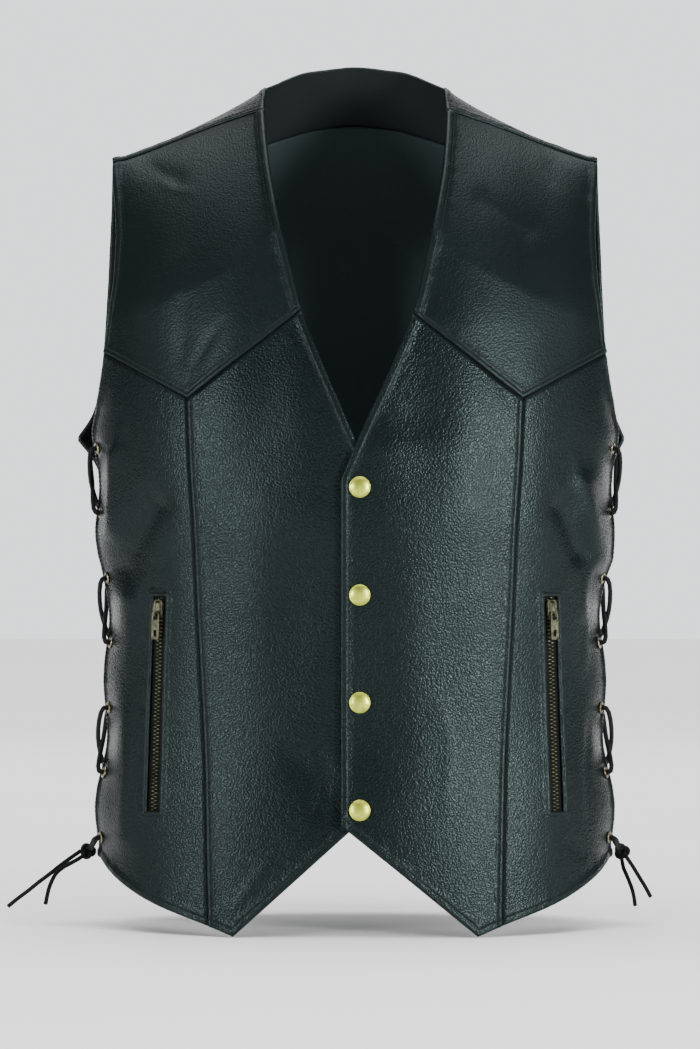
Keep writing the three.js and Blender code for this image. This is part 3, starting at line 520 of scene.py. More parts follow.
def ruled(length, step, pins=()):
    """Shares of a length, a step apart and closer at both ends, with a line on each pin."""
    ends = np.array([0, 0.35, 0.9, 1.6, 2.4, 3.1, 3.8, 4.5, 5.2, 5.9, 6.6, 7.6])
    ends = ends[ends < length / 2 - 1]
    spaces = max(1, round((length - 2 * ends[-1]) / step))
    middle = np.linspace(ends[-1], length - ends[-1], spaces + 1)[1:-1]
    shares = np.concatenate([ends, middle, length - ends[::-1]]) / length
    for pin in pins:
        shares[np.argmin(np.abs(shares - pin))] = pin
    return shares


def panel_places(shares, falls, angle_of, top_line, low_line):
    """The angles and heights of a panel's rows and columns."""
    tops = meet(top_line, angle_of, shares)
    lows = meet(low_line, angle_of, shares)
    z = tops + (lows - tops) * falls[:, None]
    return angle_of(shares[None, :], z), z


def edge_distances(points):
    """The distance of each point from a panel's top, low, inner and outer edges, in millimetres."""
    down = np.linalg.norm(np.diff(points, axis=0), axis=2)
    down = np.vstack([np.zeros((1, down.shape[1])), np.cumsum(down, axis=0)])
    across = np.linalg.norm(np.diff(points, axis=1), axis=2)
    across = np.hstack([np.zeros((across.shape[0], 1)), np.cumsum(across, axis=1)])

    def slant(edge, inward):
        """How squarely the rows or columns leave an edge."""
        return np.linalg.norm(np.cross(unit(np.gradient(edge, axis=0)), unit(inward)), axis=-1)

    return {
        "top": down * slant(points[0], points[4] - points[0]),
        "low": (down[-1] - down) * slant(points[-1], points[-5] - points[-1]),
        "inner": across * slant(points[:, 0], points[:, 4] - points[:, 0])[:, None],
        "outer": (across[:, -1:] - across) * slant(points[:, -1], points[:, -5] - points[:, -1])[:, None],
        "down": down,
        "across": across,
    }


# How an edge is made: how far it is raised, over what width, where its stitches lie, how round it is
# and how wide the painted shade along its seam is
TURNED = {"raise": 1.2, "band": 7, "stitch": 5.9, "round": 1.6, "seam": 0}
LAPPED = {"raise": 0.6, "band": 5.5, "stitch": 3.8, "round": 1.2, "seam": 0.8}
UNDER = {"raise": -1.4, "band": 1.8, "stitch": None, "round": 0, "seam": 1.1}
NECK_AND_SEAM = {"raise": 0.7, "band": 8, "stitch": 5, "round": 1.3, "seam": 0}


def edge_relief(distance, along, edge):
    """The height of the leather near an edge: its turned thickness, stitch groove and puckers."""
    lift = edge["raise"] * (1 - ease(edge["band"] - 2.5, edge["band"] + 1.5, distance))
    if edge["round"]:
        inside = np.clip(1 - distance / edge["round"], 0, 1)
        lift = lift - edge["round"] * (1 - np.sqrt(1 - inside**2))
    if edge["stitch"]:
        lift = lift - 0.6 * np.exp(-(((distance - edge["stitch"]) / 0.8) ** 2))
        pucker = np.sin(along / 1.9) + np.sin(along / 3.1 + 1) + 0.8 * np.sin(along / 5.3 + 2)
        lift = lift + 0.09 * pucker * np.exp(-(((distance - edge["stitch"]) / 5) ** 2))
    return lift


def leather_shell(name, points, normals, distances, edges, keep=None, thickness=LEATHER, holes=()):
    """A panel with two faces and a rim. Cells that aren't kept are left open, as holes are."""
    relief = np.zeros(points.shape[:2])
    for key, edge in edges.items():
        along = distances["across"] if key in ("top", "low") else distances["down"]
        relief = relief + edge_relief(distances[key], along, edge)
    outer = points + normals * relief[..., None]
    inner = points - normals * thickness
    rows, columns = points.shape[:2]
    if keep is None:
        keep = np.ones((rows - 1, columns - 1), bool)
    for centre, normal, radius in holes:
        middle = (outer[1:, 1:] + outer[:-1, :-1]) / 2
        keep = keep & (np.linalg.norm(middle - centre, axis=2) > radius)
    count = rows * columns
    index = np.arange(count).reshape(rows, columns)
    a, b = index[:-1, :-1][keep], index[:-1, 1:][keep]
    c, d = index[1:, 1:][keep], index[1:, :-1][keep]
    cells = np.stack([a, b, c, d], axis=1)
    middle = len(cells) // 2
    facing = np.cross(*(outer.reshape(-1, 3)[cells[middle, k]] - outer.reshape(-1, 3)[cells[middle, 0]]
                        for k in (1, 3)))
    if facing @ normals.reshape(-1, 3)[cells[middle, 0]] < 0:
        cells = cells[:, ::-1]
    directed = {(p, q) for cell in cells.tolist() for p, q in zip(cell, cell[1:] + cell[:1])}
    rim = [(p, q) for p, q in directed if (q, p) not in directed]
    for centre, normal, radius in holes:
        for p in {p for pair in rim for p in pair}:
            for layer in (outer.reshape(-1, 3), inner.reshape(-1, 3)):
                away = layer[p] - centre
                flat = away - normal * (away @ normal)
                if np.linalg.norm(flat) < radius + 2.5 and abs(away @ normal) < 6:
                    layer[p] += flat * ((radius + 0.3) / np.linalg.norm(flat) - 1)
    faces = [*cells.tolist(), *(cells[:, ::-1] + count).tolist()]
    faces += [(q, p, p + count, q + count) for p, q in sorted(rim)]
    everything = np.vstack([outer.reshape(-1, 3), inner.reshape(-1, 3)])
    used = np.unique(np.concatenate([cells.ravel(), cells.ravel() + count]))
    place_of = np.full(2 * count, -1)
    place_of[used] = np.arange(len(used))
    panel = mesh_object(name, everything[used], [[int(place_of[v]) for v in face] for face in faces])
    lined = np.zeros(len(faces), np.int32)
    lined[len(cells) : 2 * len(cells)] = 1
    panel.data.polygons.foreach_set("material_index", lined)
    nearest = np.min([distances[key] for key, edge in edges.items() if edge["round"]], axis=0)
    # Painted shade: a mask that darkens the leather's colour along its seams and in its stitch grooves.
    painted_groove_shade = np.zeros(nearest.shape)
    for key, edge in edges.items():
        if edge["stitch"]:
            painted_groove_shade = np.maximum(painted_groove_shade, 0.45 * np.exp(-(((distances[key] - edge["stitch"]) / 0.7) ** 2)))
        if edge["seam"]:
            painted_groove_shade = np.maximum(painted_groove_shade, np.exp(-((distances[key] / edge["seam"]) ** 2)))
    for attribute_name, values in (("edge_wear", np.exp(-nearest / 2.2)), ("painted_groove_shade", painted_groove_shade)):
        attribute = panel.data.attributes.new(attribute_name, "FLOAT", "POINT")
        values = np.concatenate([values.ravel(), values.ravel()])[used]
        attribute.data.foreach_set("value", values.astype(np.float32))
    return panel, outer


stitch_paths = []


def stitch_along(outer, normals, distances, key, offset, margins):
    """Records a row of stitches at a distance from one edge, between the rows along its neighbours."""
    points, ups = [], []
    across_rows = key in ("top", "low")
    for k in range(outer.shape[1] if across_rows else outer.shape[0]):
        pick = (slice(None), k) if across_rows else (k, slice(None))
        far = distances[key][pick]
        line, up = outer[pick], normals[pick]
        if key in ("low", "outer"):
            far, line, up = far[::-1], line[::-1], up[::-1]
        if far[-1] <= offset:
            continue
        i = int(np.searchsorted(far, offset)) - 1
        t = (offset - far[i]) / (far[i + 1] - far[i])
        near_edge = False
        for other, margin in margins.items():
            row = distances[other][pick]
            row = row[::-1] if key in ("low", "outer") else row
            near_edge = near_edge or row[i] < margin
        if not near_edge:
            points.append(line[i] * (1 - t) + line[i + 1] * t)
            ups.append(unit(up[i] * (1 - t) + up[i + 1] * t))
    if len(points) > 3:
        stitch_paths.append((np.array(points), np.array(ups)))


def object_noise(nodes, links, scale, detail=2, roughness=0.5):
    """A noise that is fixed to the piece it is on."""
    place = nodes.new("ShaderNodeTexCoord")
    noise = nodes.new("ShaderNodeTexNoise")
    noise.inputs["Scale"].default_value = scale
    noise.inputs["Detail"].default_value = detail
    noise.inputs["Roughness"].default_value = roughness
    links.new(place.outputs["Object"], noise.inputs["Vector"])
    return noise


def grain_group():
    """Pebbled leather: small rounded cells between fine furrows, with a few long wrinkles."""
    group = bpy.data.node_groups.new("pebble_grain", "ShaderNodeTree")
    for name, value in (("Cell Size", 0.0016), ("Wrinkles", 0.2)):
        group.interface.new_socket(name, in_out="INPUT", socket_type="NodeSocketFloat").default_value = value
    for name in ("Height", "Pores", "Patches"):
        group.interface.new_socket(name, in_out="OUTPUT", socket_type="NodeSocketFloat")
    nodes, links = group.nodes, group.links
    given = nodes.new("NodeGroupInput")
    result = nodes.new("NodeGroupOutput")
    place = nodes.new("ShaderNodeTexCoord")
    scale = math_node(nodes, links, "DIVIDE", 1, given.outputs["Cell Size"])
    bend = object_noise(nodes, links, 240)
    bent = nodes.new("ShaderNodeMix")
    bent.data_type = "RGBA"
    bent.blend_type = "LINEAR_LIGHT"
    bent.inputs["Factor"].default_value = 0.0012
    links.new(place.outputs["Object"], bent.inputs["A"])
    links.new(bend.outputs["Color"], bent.inputs["B"])
    cells = nodes.new("ShaderNodeTexVoronoi")
    cells.feature = "F1"
    links.new(bent.outputs["Result"], cells.inputs["Vector"])
    links.new(scale, cells.inputs["Scale"])
    from_top = math_node(nodes, links, "MULTIPLY", cells.outputs["Distance"], 1.3)
    from_top = math_node(nodes, links, "MINIMUM", from_top, 1)
    pebble = math_node(nodes, links, "SUBTRACT", 1, math_node(nodes, links, "POWER", from_top, 2))
    pores = math_node(nodes, links, "POWER", from_top, 4)
    fine = object_noise(nodes, links, 1500, 3)
    wrinkles = object_noise(nodes, links, 90, 4, 0.62)
    wrinkles.inputs["Distortion"].default_value = 0.6
    long_wrinkles = math_node(nodes, links, "MULTIPLY", wrinkles.outputs["Fac"], given.outputs["Wrinkles"])
    height = math_node(nodes, links, "MULTIPLY_ADD", fine.outputs["Fac"], 0.25, pebble)
    links.new(math_node(nodes, links, "MULTIPLY_ADD", long_wrinkles, 2, height), result.inputs["Height"])
    links.new(pores, result.inputs["Pores"])
    patches = object_noise(nodes, links, 14, 5, 0.6)
    links.new(patches.outputs["Fac"], result.inputs["Patches"])
    return group


leather_grain = grain_group()


def leather_material(name, dark, light, roughness, grain_depth):
    """Finished cowhide: darker in its furrows, uneven in shine, paler where an edge is rubbed, and with
    painted shade along its seams and stitch grooves.
    """
    material, nodes, links, shader = new_material(name)
    grain = nodes.new("ShaderNodeGroup")
    grain.node_tree = leather_grain
    patchy = blend_colours(nodes, links, grain.outputs["Patches"], dark, light)
    furrows = nodes.new("ShaderNodeMix")
    furrows.data_type = "RGBA"
    furrows.blend_type = "MULTIPLY"
    links.new(math_node(nodes, links, "MULTIPLY", grain.outputs["Pores"], 0.55), furrows.inputs["Factor"])
    links.new(patchy, furrows.inputs["A"])
    furrows.inputs["B"].default_value = (0.25, 0.25, 0.25, 1)
    wear = nodes.new("ShaderNodeAttribute")
    wear.attribute_name = "edge_wear"
    rubbed = math_node(nodes, links, "MULTIPLY", wear.outputs["Fac"], grain.outputs["Patches"])
    worn = nodes.new("ShaderNodeMix")
    worn.data_type = "RGBA"
    links.new(math_node(nodes, links, "MULTIPLY", rubbed, 0.35), worn.inputs["Factor"])
    links.new(furrows.outputs["Result"], worn.inputs["A"])
    worn.inputs["B"].default_value = (0.020, 0.025, 0.025, 1)
    # Painted shade: the colour is mixed to near black along seams and in stitch grooves.
    painted_groove_shade = nodes.new("ShaderNodeAttribute")
    painted_groove_shade.attribute_name = "painted_groove_shade"
    groove_shade_mix = nodes.new("ShaderNodeMix")
    groove_shade_mix.data_type = "RGBA"
    links.new(math_node(nodes, links, "MULTIPLY", painted_groove_shade.outputs["Fac"], 0.9), groove_shade_mix.inputs["Factor"])
    links.new(worn.outputs["Result"], groove_shade_mix.inputs["A"])
    groove_shade_mix.inputs["B"].default_value = (0.0004, 0.0006, 0.0006, 1)
    links.new(groove_shade_mix.outputs["Result"], shader.inputs["Base Color"])
    shine = math_node(nodes, links, "MULTIPLY_ADD", grain.outputs["Patches"], 0.16, roughness - 0.08)
    shine = math_node(nodes, links, "MULTIPLY_ADD", painted_groove_shade.outputs["Fac"], 0.45, shine)
    shine = math_node(nodes, links, "MULTIPLY_ADD", grain.outputs["Pores"], 0.12, shine)
    links.new(shine, shader.inputs["Roughness"])
    raise_surface(nodes, links, shader, grain.outputs["Height"], grain_depth, 0.0003)
    shader.inputs["Specular IOR Level"].default_value = 0.15
    shader.inputs["Specular Tint"].default_value = (0.74, 1, 0.98, 1)
    return material


def dull_material(name, dark, light):
    """The flesh side of the hide, or plain black cotton, both too fine to show more than a dull nap."""
    material, nodes, links, shader = new_material(name)
    nap = object_noise(nodes, links, 900)
    links.new(blend_colours(nodes, links, nap.outputs["Fac"], dark, light), shader.inputs["Base Color"])
    raise_surface(nodes, links, shader, nap.outputs["Fac"], 0.4, 0.00015)
    shader.inputs["Roughness"].default_value = 0.85
    shader.inputs["Specular IOR Level"].default_value = 0.2
    return material


cowhide = leather_material("black_cowhide", (0.0022, 0.0040, 0.0041), (0.0046, 0.0074, 0.0075), 0.26, 0.58)
yoke_hide = leather_material("yoke_cowhide", (0.0024, 0.0043, 0.0043), (0.0048, 0.0077, 0.0076), 0.32, 0.34)
flesh_side = dull_material("flesh_side", (0.0050, 0.0080, 0.0078), (0.0095, 0.0145, 0.0140))


def sew_in(panel, node, hide):
    """Dresses a finished front panel, hides the solid that it stands for, and attaches it to the vest."""
    panel.data.materials.append(hide)
    panel.data.materials.append(flesh_side)
    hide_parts(node)
    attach(panel, "vest")


for side in SIDES:
    inner, outer_line = inner_edge(side), armhole["front"]
    point_z = YOKE_SEAM[1][1]
    middle = (seam_angle(point_z) - inner(point_z)) / (outer_line(point_z) - inner(point_z))
    shares = ruled(150, 2.3, [middle])
    falls = ruled(200, 2.3)
    angles, heights = panel_places(shares, falls, between(inner, outer_line), shoulder_seam, yoke_seam)
    points = body_point("front", side, angles, heights)
    normals = body_normal("front", side, angles, heights)
    distances = edge_distances(points)
    edges = {"top": UNDER, "low": LAPPED, "inner": TURNED, "outer": TURNED}
    yoke, outer = leather_shell(f"yoke_{side}_leather", points, normals, distances, edges)
    stitch_along(outer, normals, distances, "low", LAPPED["stitch"], {"inner": 2, "outer": 2})
    stitch_along(outer, normals, distances, "inner", TURNED["stitch"], {"top": 1, "low": 4.5})
    stitch_along(outer, normals, distances, "outer", TURNED["stitch"], {"top": 1, "low": 4.5})
    sew_in(yoke, f"yoke_{side}", yoke_hide)


# The centre fronts.
# Each is one piece of the same hide, from the neck to the pointed hem. The left front's edge lies
# over the right front's, and both are turned in and stitched.
NECK_END = -281
HEM_X, HEM_Z = 91, -620
HEM_SLOPE = {"right": 0.9, "left": 0.82}
hem_side = smooth_line([
    (HEM_X, HEM_Z), (110, -612.5), (151, -597.5), (172, -586.5), (185, -577), (191, -571), (200, -562),
])


def hem_line(side):
    """The height of the hem, which is lowest at one point and rises to the front edge and the side."""
    return lambda x: np.where(x > HEM_X, hem_side(x), HEM_Z + (HEM_X - x) * HEM_SLOPE[side])


for side in SIDES:
    inner = inner_edge(side)
    hem = hem_line(side)
    hem_share = float((angle_at(HEM_X, HEM_Z) - inner(HEM_Z)) / (seam_angle(HEM_Z) - inner(HEM_Z)))
    start_z = YOKE_SEAM[0][1]
    neck_share = (NECK_END - start_z) / (float(hem(FRONT_EDGE[side])) - start_z)
    shares = ruled(125, 2.3, [hem_share])
    falls = ruled(400, 2.4, [neck_share])
    angles, heights = panel_places(shares, falls, between(inner, seam_angle), yoke_seam, hem)
    points = body_point("front", side, angles, heights)
    normals = body_normal("front", side, angles, heights)
    distances = edge_distances(points)
    edges = {"top": UNDER, "low": TURNED, "inner": TURNED, "outer": LAPPED}
    centre, outer = leather_shell(f"front_centre_{side}_leather", points, normals, distances, edges)
    stitch_along(outer, normals, distances, "inner", TURNED["stitch"], {"top": 1, "low": 6})
    stitch_along(outer, normals, distances, "low", TURNED["stitch"], {"inner": 6, "outer": 1})
    stitch_along(outer, normals, distances, "outer", LAPPED["stitch"], {"top": 1, "low": 1})
    sew_in(centre, f"front_centre_{side}", cowhide)


# The side fronts, with the openings of the two zip pockets.
# Each runs from the long seam to the laced edge. Its pocket opening is cut in, turned and
# stitched all round, and seven eyelet holes are punched near its edge.
ZIP_TOP, ZIP_BOTTOM = -368, -529
ZIP_HALF = 6.75
ZIP_EDGE = {"raise": 0.8, "band": 5, "stitch": 3.4, "round": 1.3, "seam": 0}
EYELET_INSET, EYELET_HOLE = 9, 3.3


def zip_place(z, across):
    """The angle at a distance across a zip's centre line."""
    share = (z - ZIP_TOP) / (ZIP_BOTTOM - ZIP_TOP)
    x = 147 + 5 * share
    angle = angle_at(x, z)
    radius = half_width(z) * 0.86
    return angle + np.degrees(across / radius)


def side_columns(c, z):
    """Columns from the long seam, through the two edges of the zip opening, to the laced edge."""
    c, z = np.broadcast_arrays(np.asarray(c, float), np.asarray(z, float))
    lines = np.stack([seam_angle(z), zip_place(z, -ZIP_HALF), zip_place(z, ZIP_HALF), armhole["front"](z)])
    i = np.clip(c.astype(int), 0, 2)
    low = np.take_along_axis(lines, i[None], 0)[0]
    high = np.take_along_axis(lines, i[None] + 1, 0)[0]
    return low + (high - low) * (c - i)


def eyelet_places(face, side):
    """The middle of each eyelet on one laced edge, and the direction that it faces."""
    z = EYELET_FIRST - EYELET_PITCH * np.arange(7)
    depth = front_depth(z) if face == "front" else back_depth(z)
    angle = armhole[face](z) - np.degrees(EYELET_INSET / depth)
    return body_point(face, side, angle, z, False), body_normal(face, side, angle, z)


for side in SIDES:
    hem = hem_line(side)
    columns = np.concatenate([ruled(26, 2.1)[:-1], 1 + ruled(2 * ZIP_HALF, 2.2)[:-1], 2 + ruled(62, 1.9)])
    tops = meet(yoke_seam, side_columns, columns)
    lows = meet(hem, side_columns, columns)
    upper = ruled(170, 2.2)[:, None]
    mid = ruled(161, 2.2)[1:-1, None]
    lower = ruled(72, 2.2)[:, None]
    heights = np.vstack([
        tops + (ZIP_TOP - tops) * upper,
        ZIP_TOP + (ZIP_BOTTOM - ZIP_TOP) * mid + 0 * tops,
        ZIP_BOTTOM + (lows - ZIP_BOTTOM) * lower,
    ])
    angles = side_columns(columns[None, :], heights)
    points = body_point("front", side, angles, heights)
    normals = body_normal("front", side, angles, heights)
    distances = edge_distances(points)
    first, last = len(upper) - 1, len(upper) + len(mid)
    start, stop = np.argmin(np.abs(columns - 1)), np.argmin(np.abs(columns - 2))
    keep = np.ones((len(heights) - 1, len(columns) - 1), bool)
    keep[first:last, start:stop] = False
    middle_line = (points[:, start] + points[:, stop])[:, None] / 2
    aside = np.maximum(0, np.linalg.norm(points - middle_line, axis=2) - ZIP_HALF)
    above = np.maximum(0, np.maximum(heights - ZIP_TOP, ZIP_BOTTOM - heights))
    distances["zip"] = np.hypot(aside, above)
    edges = {"top": UNDER, "low": TURNED, "inner": UNDER, "outer": TURNED, "zip": ZIP_EDGE}
    centres, facing = eyelet_places("front", side)
    holes = [(centre, normal, EYELET_HOLE) for centre, normal in zip(centres, facing)]
    side_front, outer = leather_shell(f"front_side_{side}_leather", points, normals, distances, edges, keep,
                                      holes=holes)
    stitch_along(outer, normals, distances, "low", TURNED["stitch"], {"inner": 1, "outer": 6})
    stitch_along(outer, normals, distances, "outer", TURNED["stitch"] - 2, {"top": 1, "low": 6})
    away = ZIP_EDGE["stitch"]
    reach = ZIP_HALF + away
    down = np.linspace(ZIP_TOP, ZIP_BOTTOM, 60)
    inward = np.linspace(reach - 1.5, 1.5 - reach, 9)
    ring_z = [down, np.full(9, ZIP_BOTTOM - away), down[::-1], np.full(9, ZIP_TOP + away), [ZIP_TOP]]
    ring_x = [np.full(60, reach), inward, np.full(60, -reach), inward[::-1], [reach]]
    ring_z, ring_x = np.concatenate(ring_z), np.concatenate(ring_x)
    ring_angles = zip_place(ring_z, ring_x)
    ring_normals = body_normal("front", side, ring_angles, ring_z)
    stitch_paths.append((body_point("front", side, ring_angles, ring_z) + 0.15 * ring_normals, ring_normals))
    sew_in(side_front, f"front_side_{side}", cowhide)


# The back.
# One large piece of the hide, which runs over the shoulders to the seams on the chest. Its neck
# and armhole edges are turned and stitched, and it has seven eyelet holes down each laced edge.
BACK_COLUMNS, ARCH_ROWS, BACK_ROWS = 12, 9, 16
BACK_NECK = [(0, 0, 22), (1, 24, 19), (2, 46, 11.4), (3, 61, 3.6), (4, 68, 0.6), (5, 69.8, -18)]


def turn_over(drop):
    """A drop below the shoulder line as a turn over it, negative in front."""
    drop = np.asarray(drop, float)
    height = np.where(drop < 0, CHEST_ARCH[0], BACK_ARCH[0])
    power = np.where(drop < 0, CHEST_ARCH[1], BACK_ARCH[1])
    return np.sign(drop) * np.degrees(np.arccos((1 - np.abs(drop) / height) ** (power / 2)))


def neck_curve(values, powers):
    """An even or odd curve through the first five places of the back neck, then a line to the sixth."""
    index = np.arange(5.0)
    terms, *_ = np.linalg.lstsq(np.stack([index**p for p in powers], axis=1), values[:5], rcond=None)
    last = sum(term * 4.0**p for term, p in zip(terms, powers))
    slope = sum(term * p * 4.0 ** (p - 1) for term, p in zip(terms, powers) if p)

    def value_at(column):
        """The curve's value at a column."""
        u = np.clip(column - 4, 0, 1)
        inside = sum(term * np.minimum(column, 4.0) ** p for term, p in zip(terms, powers))
        return inside + slope * u + (values[5] - last - slope) * u * u

    return value_at


neck_x = neck_curve(np.array([x for index, x, drop in BACK_NECK], float), (1, 3, 5))
neck_turn = neck_curve(turn_over([drop for index, x, drop in BACK_NECK]), (0, 2, 4, 6))


def back_places(column, row):
    """Angle, height and whether it lies on the front, for places on one half of the back."""
    share = column / BACK_COLUMNS
    tip = float(half_width(-38) * np.sin(np.radians(armhole["front"](-38))))
    neck_end = BACK_NECK[-1][1]
    beyond = neck_end + (tip - neck_end) * (column - 5) / (BACK_COLUMNS - 5)
    top_x = np.where(column <= 5, neck_x(column), beyond)
    first = np.where(column <= 5, neck_turn(column), turn_over(-seam_drop(top_x)))

    def low_x(z):
        """How far out a column lies below the arch of the back."""
        return half_width(z) * np.sin(np.radians(share * armhole["back"](z)))

    start = shoulder_line(low_x(-130)) - BACK_ARCH[0]
    end = -550 - 16 * share**2
    low_z = start + (end - start) * (row - ARCH_ROWS) / BACK_ROWS
    turn = first + (90 - first) * np.clip(row / ARCH_ROWS, 0, 1)
    height = np.where(turn < 0, CHEST_ARCH[0], BACK_ARCH[0])
    power = np.where(turn < 0, CHEST_ARCH[1], BACK_ARCH[1])
    drop = height * (1 - np.cos(np.radians(np.abs(turn))) ** (2 / power))
    x = top_x + (low_x(shoulder_line(top_x) - drop) - top_x) * ease(0, 1, row / ARCH_ROWS)
    arch_z = shoulder_line(x) - np.maximum(0.06, drop)
    low = row > ARCH_ROWS
    z = np.where(low, low_z, arch_z)
    angle = angle_at(np.where(low, low_x(low_z), x), z)
    return angle, z, (turn < 0) & ~low


def back_surface(columns, rows):
    """Points and plain normals of the back over signed columns, and rows or a grid of them."""
    column, row = np.meshgrid(columns, rows) if rows.ndim == 1 else np.broadcast_arrays(columns, rows)
    angle, z, forward = back_places(np.abs(column), row)
    points = np.zeros((*angle.shape, 3))
    normals = np.zeros((*angle.shape, 3))
    for side in SIDES:
        own = column < 0 if side == "right" else column >= 0
        for face, there in (("front", forward & own), ("back", ~forward & own)):
            points[there] = body_point(face, side, angle[there], z[there])
            normals[there] = body_normal(face, side, angle[there], z[there])
    return points, normals


half_columns = np.concatenate([
    np.linspace(0, 4, 41)[1:], np.linspace(4, 5, 11)[1:], np.linspace(5, 11.6, 50)[1:],
    11.6 + 0.4 * np.array([0.25, 0.5, 0.7, 0.84, 0.92, 0.965, 1]),
])
back_columns = np.concatenate([-half_columns[::-1], [0], half_columns])
back_rows = np.concatenate([
    [0, 0.015, 0.04, 0.08, 0.13], np.linspace(0.2, 9, 72), np.linspace(9, 24.75, 144)[1:],
    25 - np.array([0.17, 0.1, 0.06, 0.03, 0.012, 0]),
])
points, normals = back_surface(back_columns, back_rows)
distances = edge_distances(points)
edges = {"top": NECK_AND_SEAM, "low": TURNED, "inner": TURNED, "outer": TURNED}
holes = []
for side in SIDES:
    centres, facing = eyelet_places("back", side)
    holes += [(centre, normal, EYELET_HOLE) for centre, normal in zip(centres, facing)]
back, outer = leather_shell("back_panel_leather", points, normals, distances, edges, holes=holes)
stitch_along(outer, normals, distances, "top", 5, {"inner": 5, "outer": 5})
stitch_along(outer, normals, distances, "low", 6, {"inner": 5, "outer": 5})
stitch_along(outer, normals, distances, "inner", 4, {"top": 5, "low": 6})
stitch_along(outer, normals, distances, "outer", 4, {"top": 5, "low": 6})
back.data.materials.append(cowhide)
back.data.materials.append(flesh_side)
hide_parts("back_panel")
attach(back, "vest")


# The back lining.
# Black cotton, cut a little smaller than the back and sewn in along its edges, so that it hangs a
# few millimetres inside the leather. It is what shows through the neck.
LINING_TOP, LINING_EDGE, LINING_MIDDLE = 1.2, 0.9, 5
PLAIN = {"raise": 0, "band": 3, "stitch": None, "round": 0.5, "seam": 0}
PLAIN_EDGES = {"top": PLAIN, "low": PLAIN, "inner": PLAIN, "outer": PLAIN}
lining_edge = smooth_line([(-1, 0), (0, 0), (30, -3), (60, -12), (100, -28), (140, -44), (200, -66)])


def lining_start(column):
    """The row of the back at which the lining's smoothly curved top edge crosses a column."""
    rows = np.linspace(1, 9, 161)
    angle, z, _ = back_places(np.full(161, abs(column)), rows)
    above = z - lining_edge(half_width(z) * np.sin(np.radians(angle)))
    return float(np.interp(0, -above, rows))


lining_columns = np.linspace(-9, 9, 91)
lining_rows = np.linspace(4, 24, 121)
starts = np.array([lining_start(column) for column in lining_columns])
falling = np.linspace(0, 1, 121)[:, None]
points, normals = back_surface(lining_columns, starts + (24 - starts) * falling)
from_side = (9 - np.abs(lining_columns)) / 2
from_top = (lining_rows - 4) / 2
from_low = (24 - lining_rows) / 2
inward = np.minimum(1, from_side)[None, :] * np.minimum(1, from_low)[:, None]
gap = LINING_EDGE + (LINING_MIDDLE - LINING_EDGE) * inward
gap = np.where(from_top[:, None] < 1, LINING_TOP + (gap - LINING_TOP) * from_top[:, None], gap)
waves = np.sin(lining_columns[None, :] * 2.1 + lining_rows[:, None] * 0.35)
gap = gap + 0.5 * waves * inward * np.minimum(1, from_top)[:, None]
points = points - normals * (LEATHER + gap)[..., None]
distances = edge_distances(points)
lining, _ = leather_shell("back_lining_cloth", points, normals, distances, PLAIN_EDGES, thickness=1.0)
lining.data.polygons.foreach_set("material_index", [0] * len(lining.data.polygons))
lining.data.materials.append(dull_material("cotton_lining", (0.014, 0.0240, 0.0232), (0.026, 0.0410, 0.0400)))
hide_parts("back_lining")
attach(lining, "vest")


# The stitching.
# Black bonded thread in one row along every turned edge, above each seam and round the pockets.
# The stitches are about three millimetres long and sit in a slight groove.
def thread_material():
    """Black thread with a slight gloss."""
    material, nodes, links, shader = new_material("bonded_thread")
    ply = object_noise(nodes, links, 2600)
    colour = blend_colours(nodes, links, ply.outputs["Fac"], (0.002, 0.0028, 0.0028), (0.008, 0.0095, 0.0095))
    links.new(colour, shader.inputs["Base Color"])
    shader.inputs["Roughness"].default_value = 0.5
    shader.inputs["Specular IOR Level"].default_value = 0.2
    return material


def new_tree(name, inputs):
    """A node tree with named inputs, and its nodes, links, input node and output node."""
    tree = bpy.data.node_groups.new(name, "GeometryNodeTree")
    for label, kind in (("Geometry", "Geometry"), *inputs):
        tree.interface.new_socket(label, in_out="INPUT", socket_type=f"NodeSocket{kind}")
    tree.interface.new_socket("Geometry", in_out="OUTPUT", socket_type="NodeSocketGeometry")
    nodes, links = tree.nodes, tree.links
    return tree, nodes, links, nodes.new("NodeGroupInput"), nodes.new("NodeGroupOutput")


def spaced_points(nodes, links, given):
    """Points a pitch apart along the lines of the mesh that comes in."""
    curves = nodes.new("GeometryNodeMeshToCurve")
    links.new(given.outputs["Geometry"], curves.inputs["Mesh"])
    spaced = nodes.new("GeometryNodeResampleCurve")
    spaced.mode = "LENGTH"
    links.new(curves.outputs["Curve"], spaced.inputs["Curve"])
    links.new(given.outputs["Pitch"], spaced.inputs["Length"])
    return spaced.outputs["Curve"]


def kept_vector(nodes, name):
    """The vector that was kept at each point under a name."""
    read = nodes.new("GeometryNodeInputNamedAttribute")
    read.data_type = "FLOAT_VECTOR"
    read.inputs["Name"].default_value = name
    return read.outputs["Attribute"]


def placed_pieces(nodes, links, points, piece, second_axis, second_vector):
    """Sets a piece at each point, with its Z facing outwards and a second axis along a vector."""
    turned = nodes.new("FunctionNodeAxesToRotation")
    turned.primary_axis = "Z"
    turned.secondary_axis = second_axis
    links.new(kept_vector(nodes, "facing"), turned.inputs["Primary Axis"])
    links.new(second_vector, turned.inputs["Secondary Axis"])
    placed = nodes.new("GeometryNodeInstanceOnPoints")
    links.new(points, placed.inputs["Points"])
    links.new(piece, placed.inputs["Instance"])
    links.new(turned.outputs["Rotation"], placed.inputs["Rotation"])
    return placed


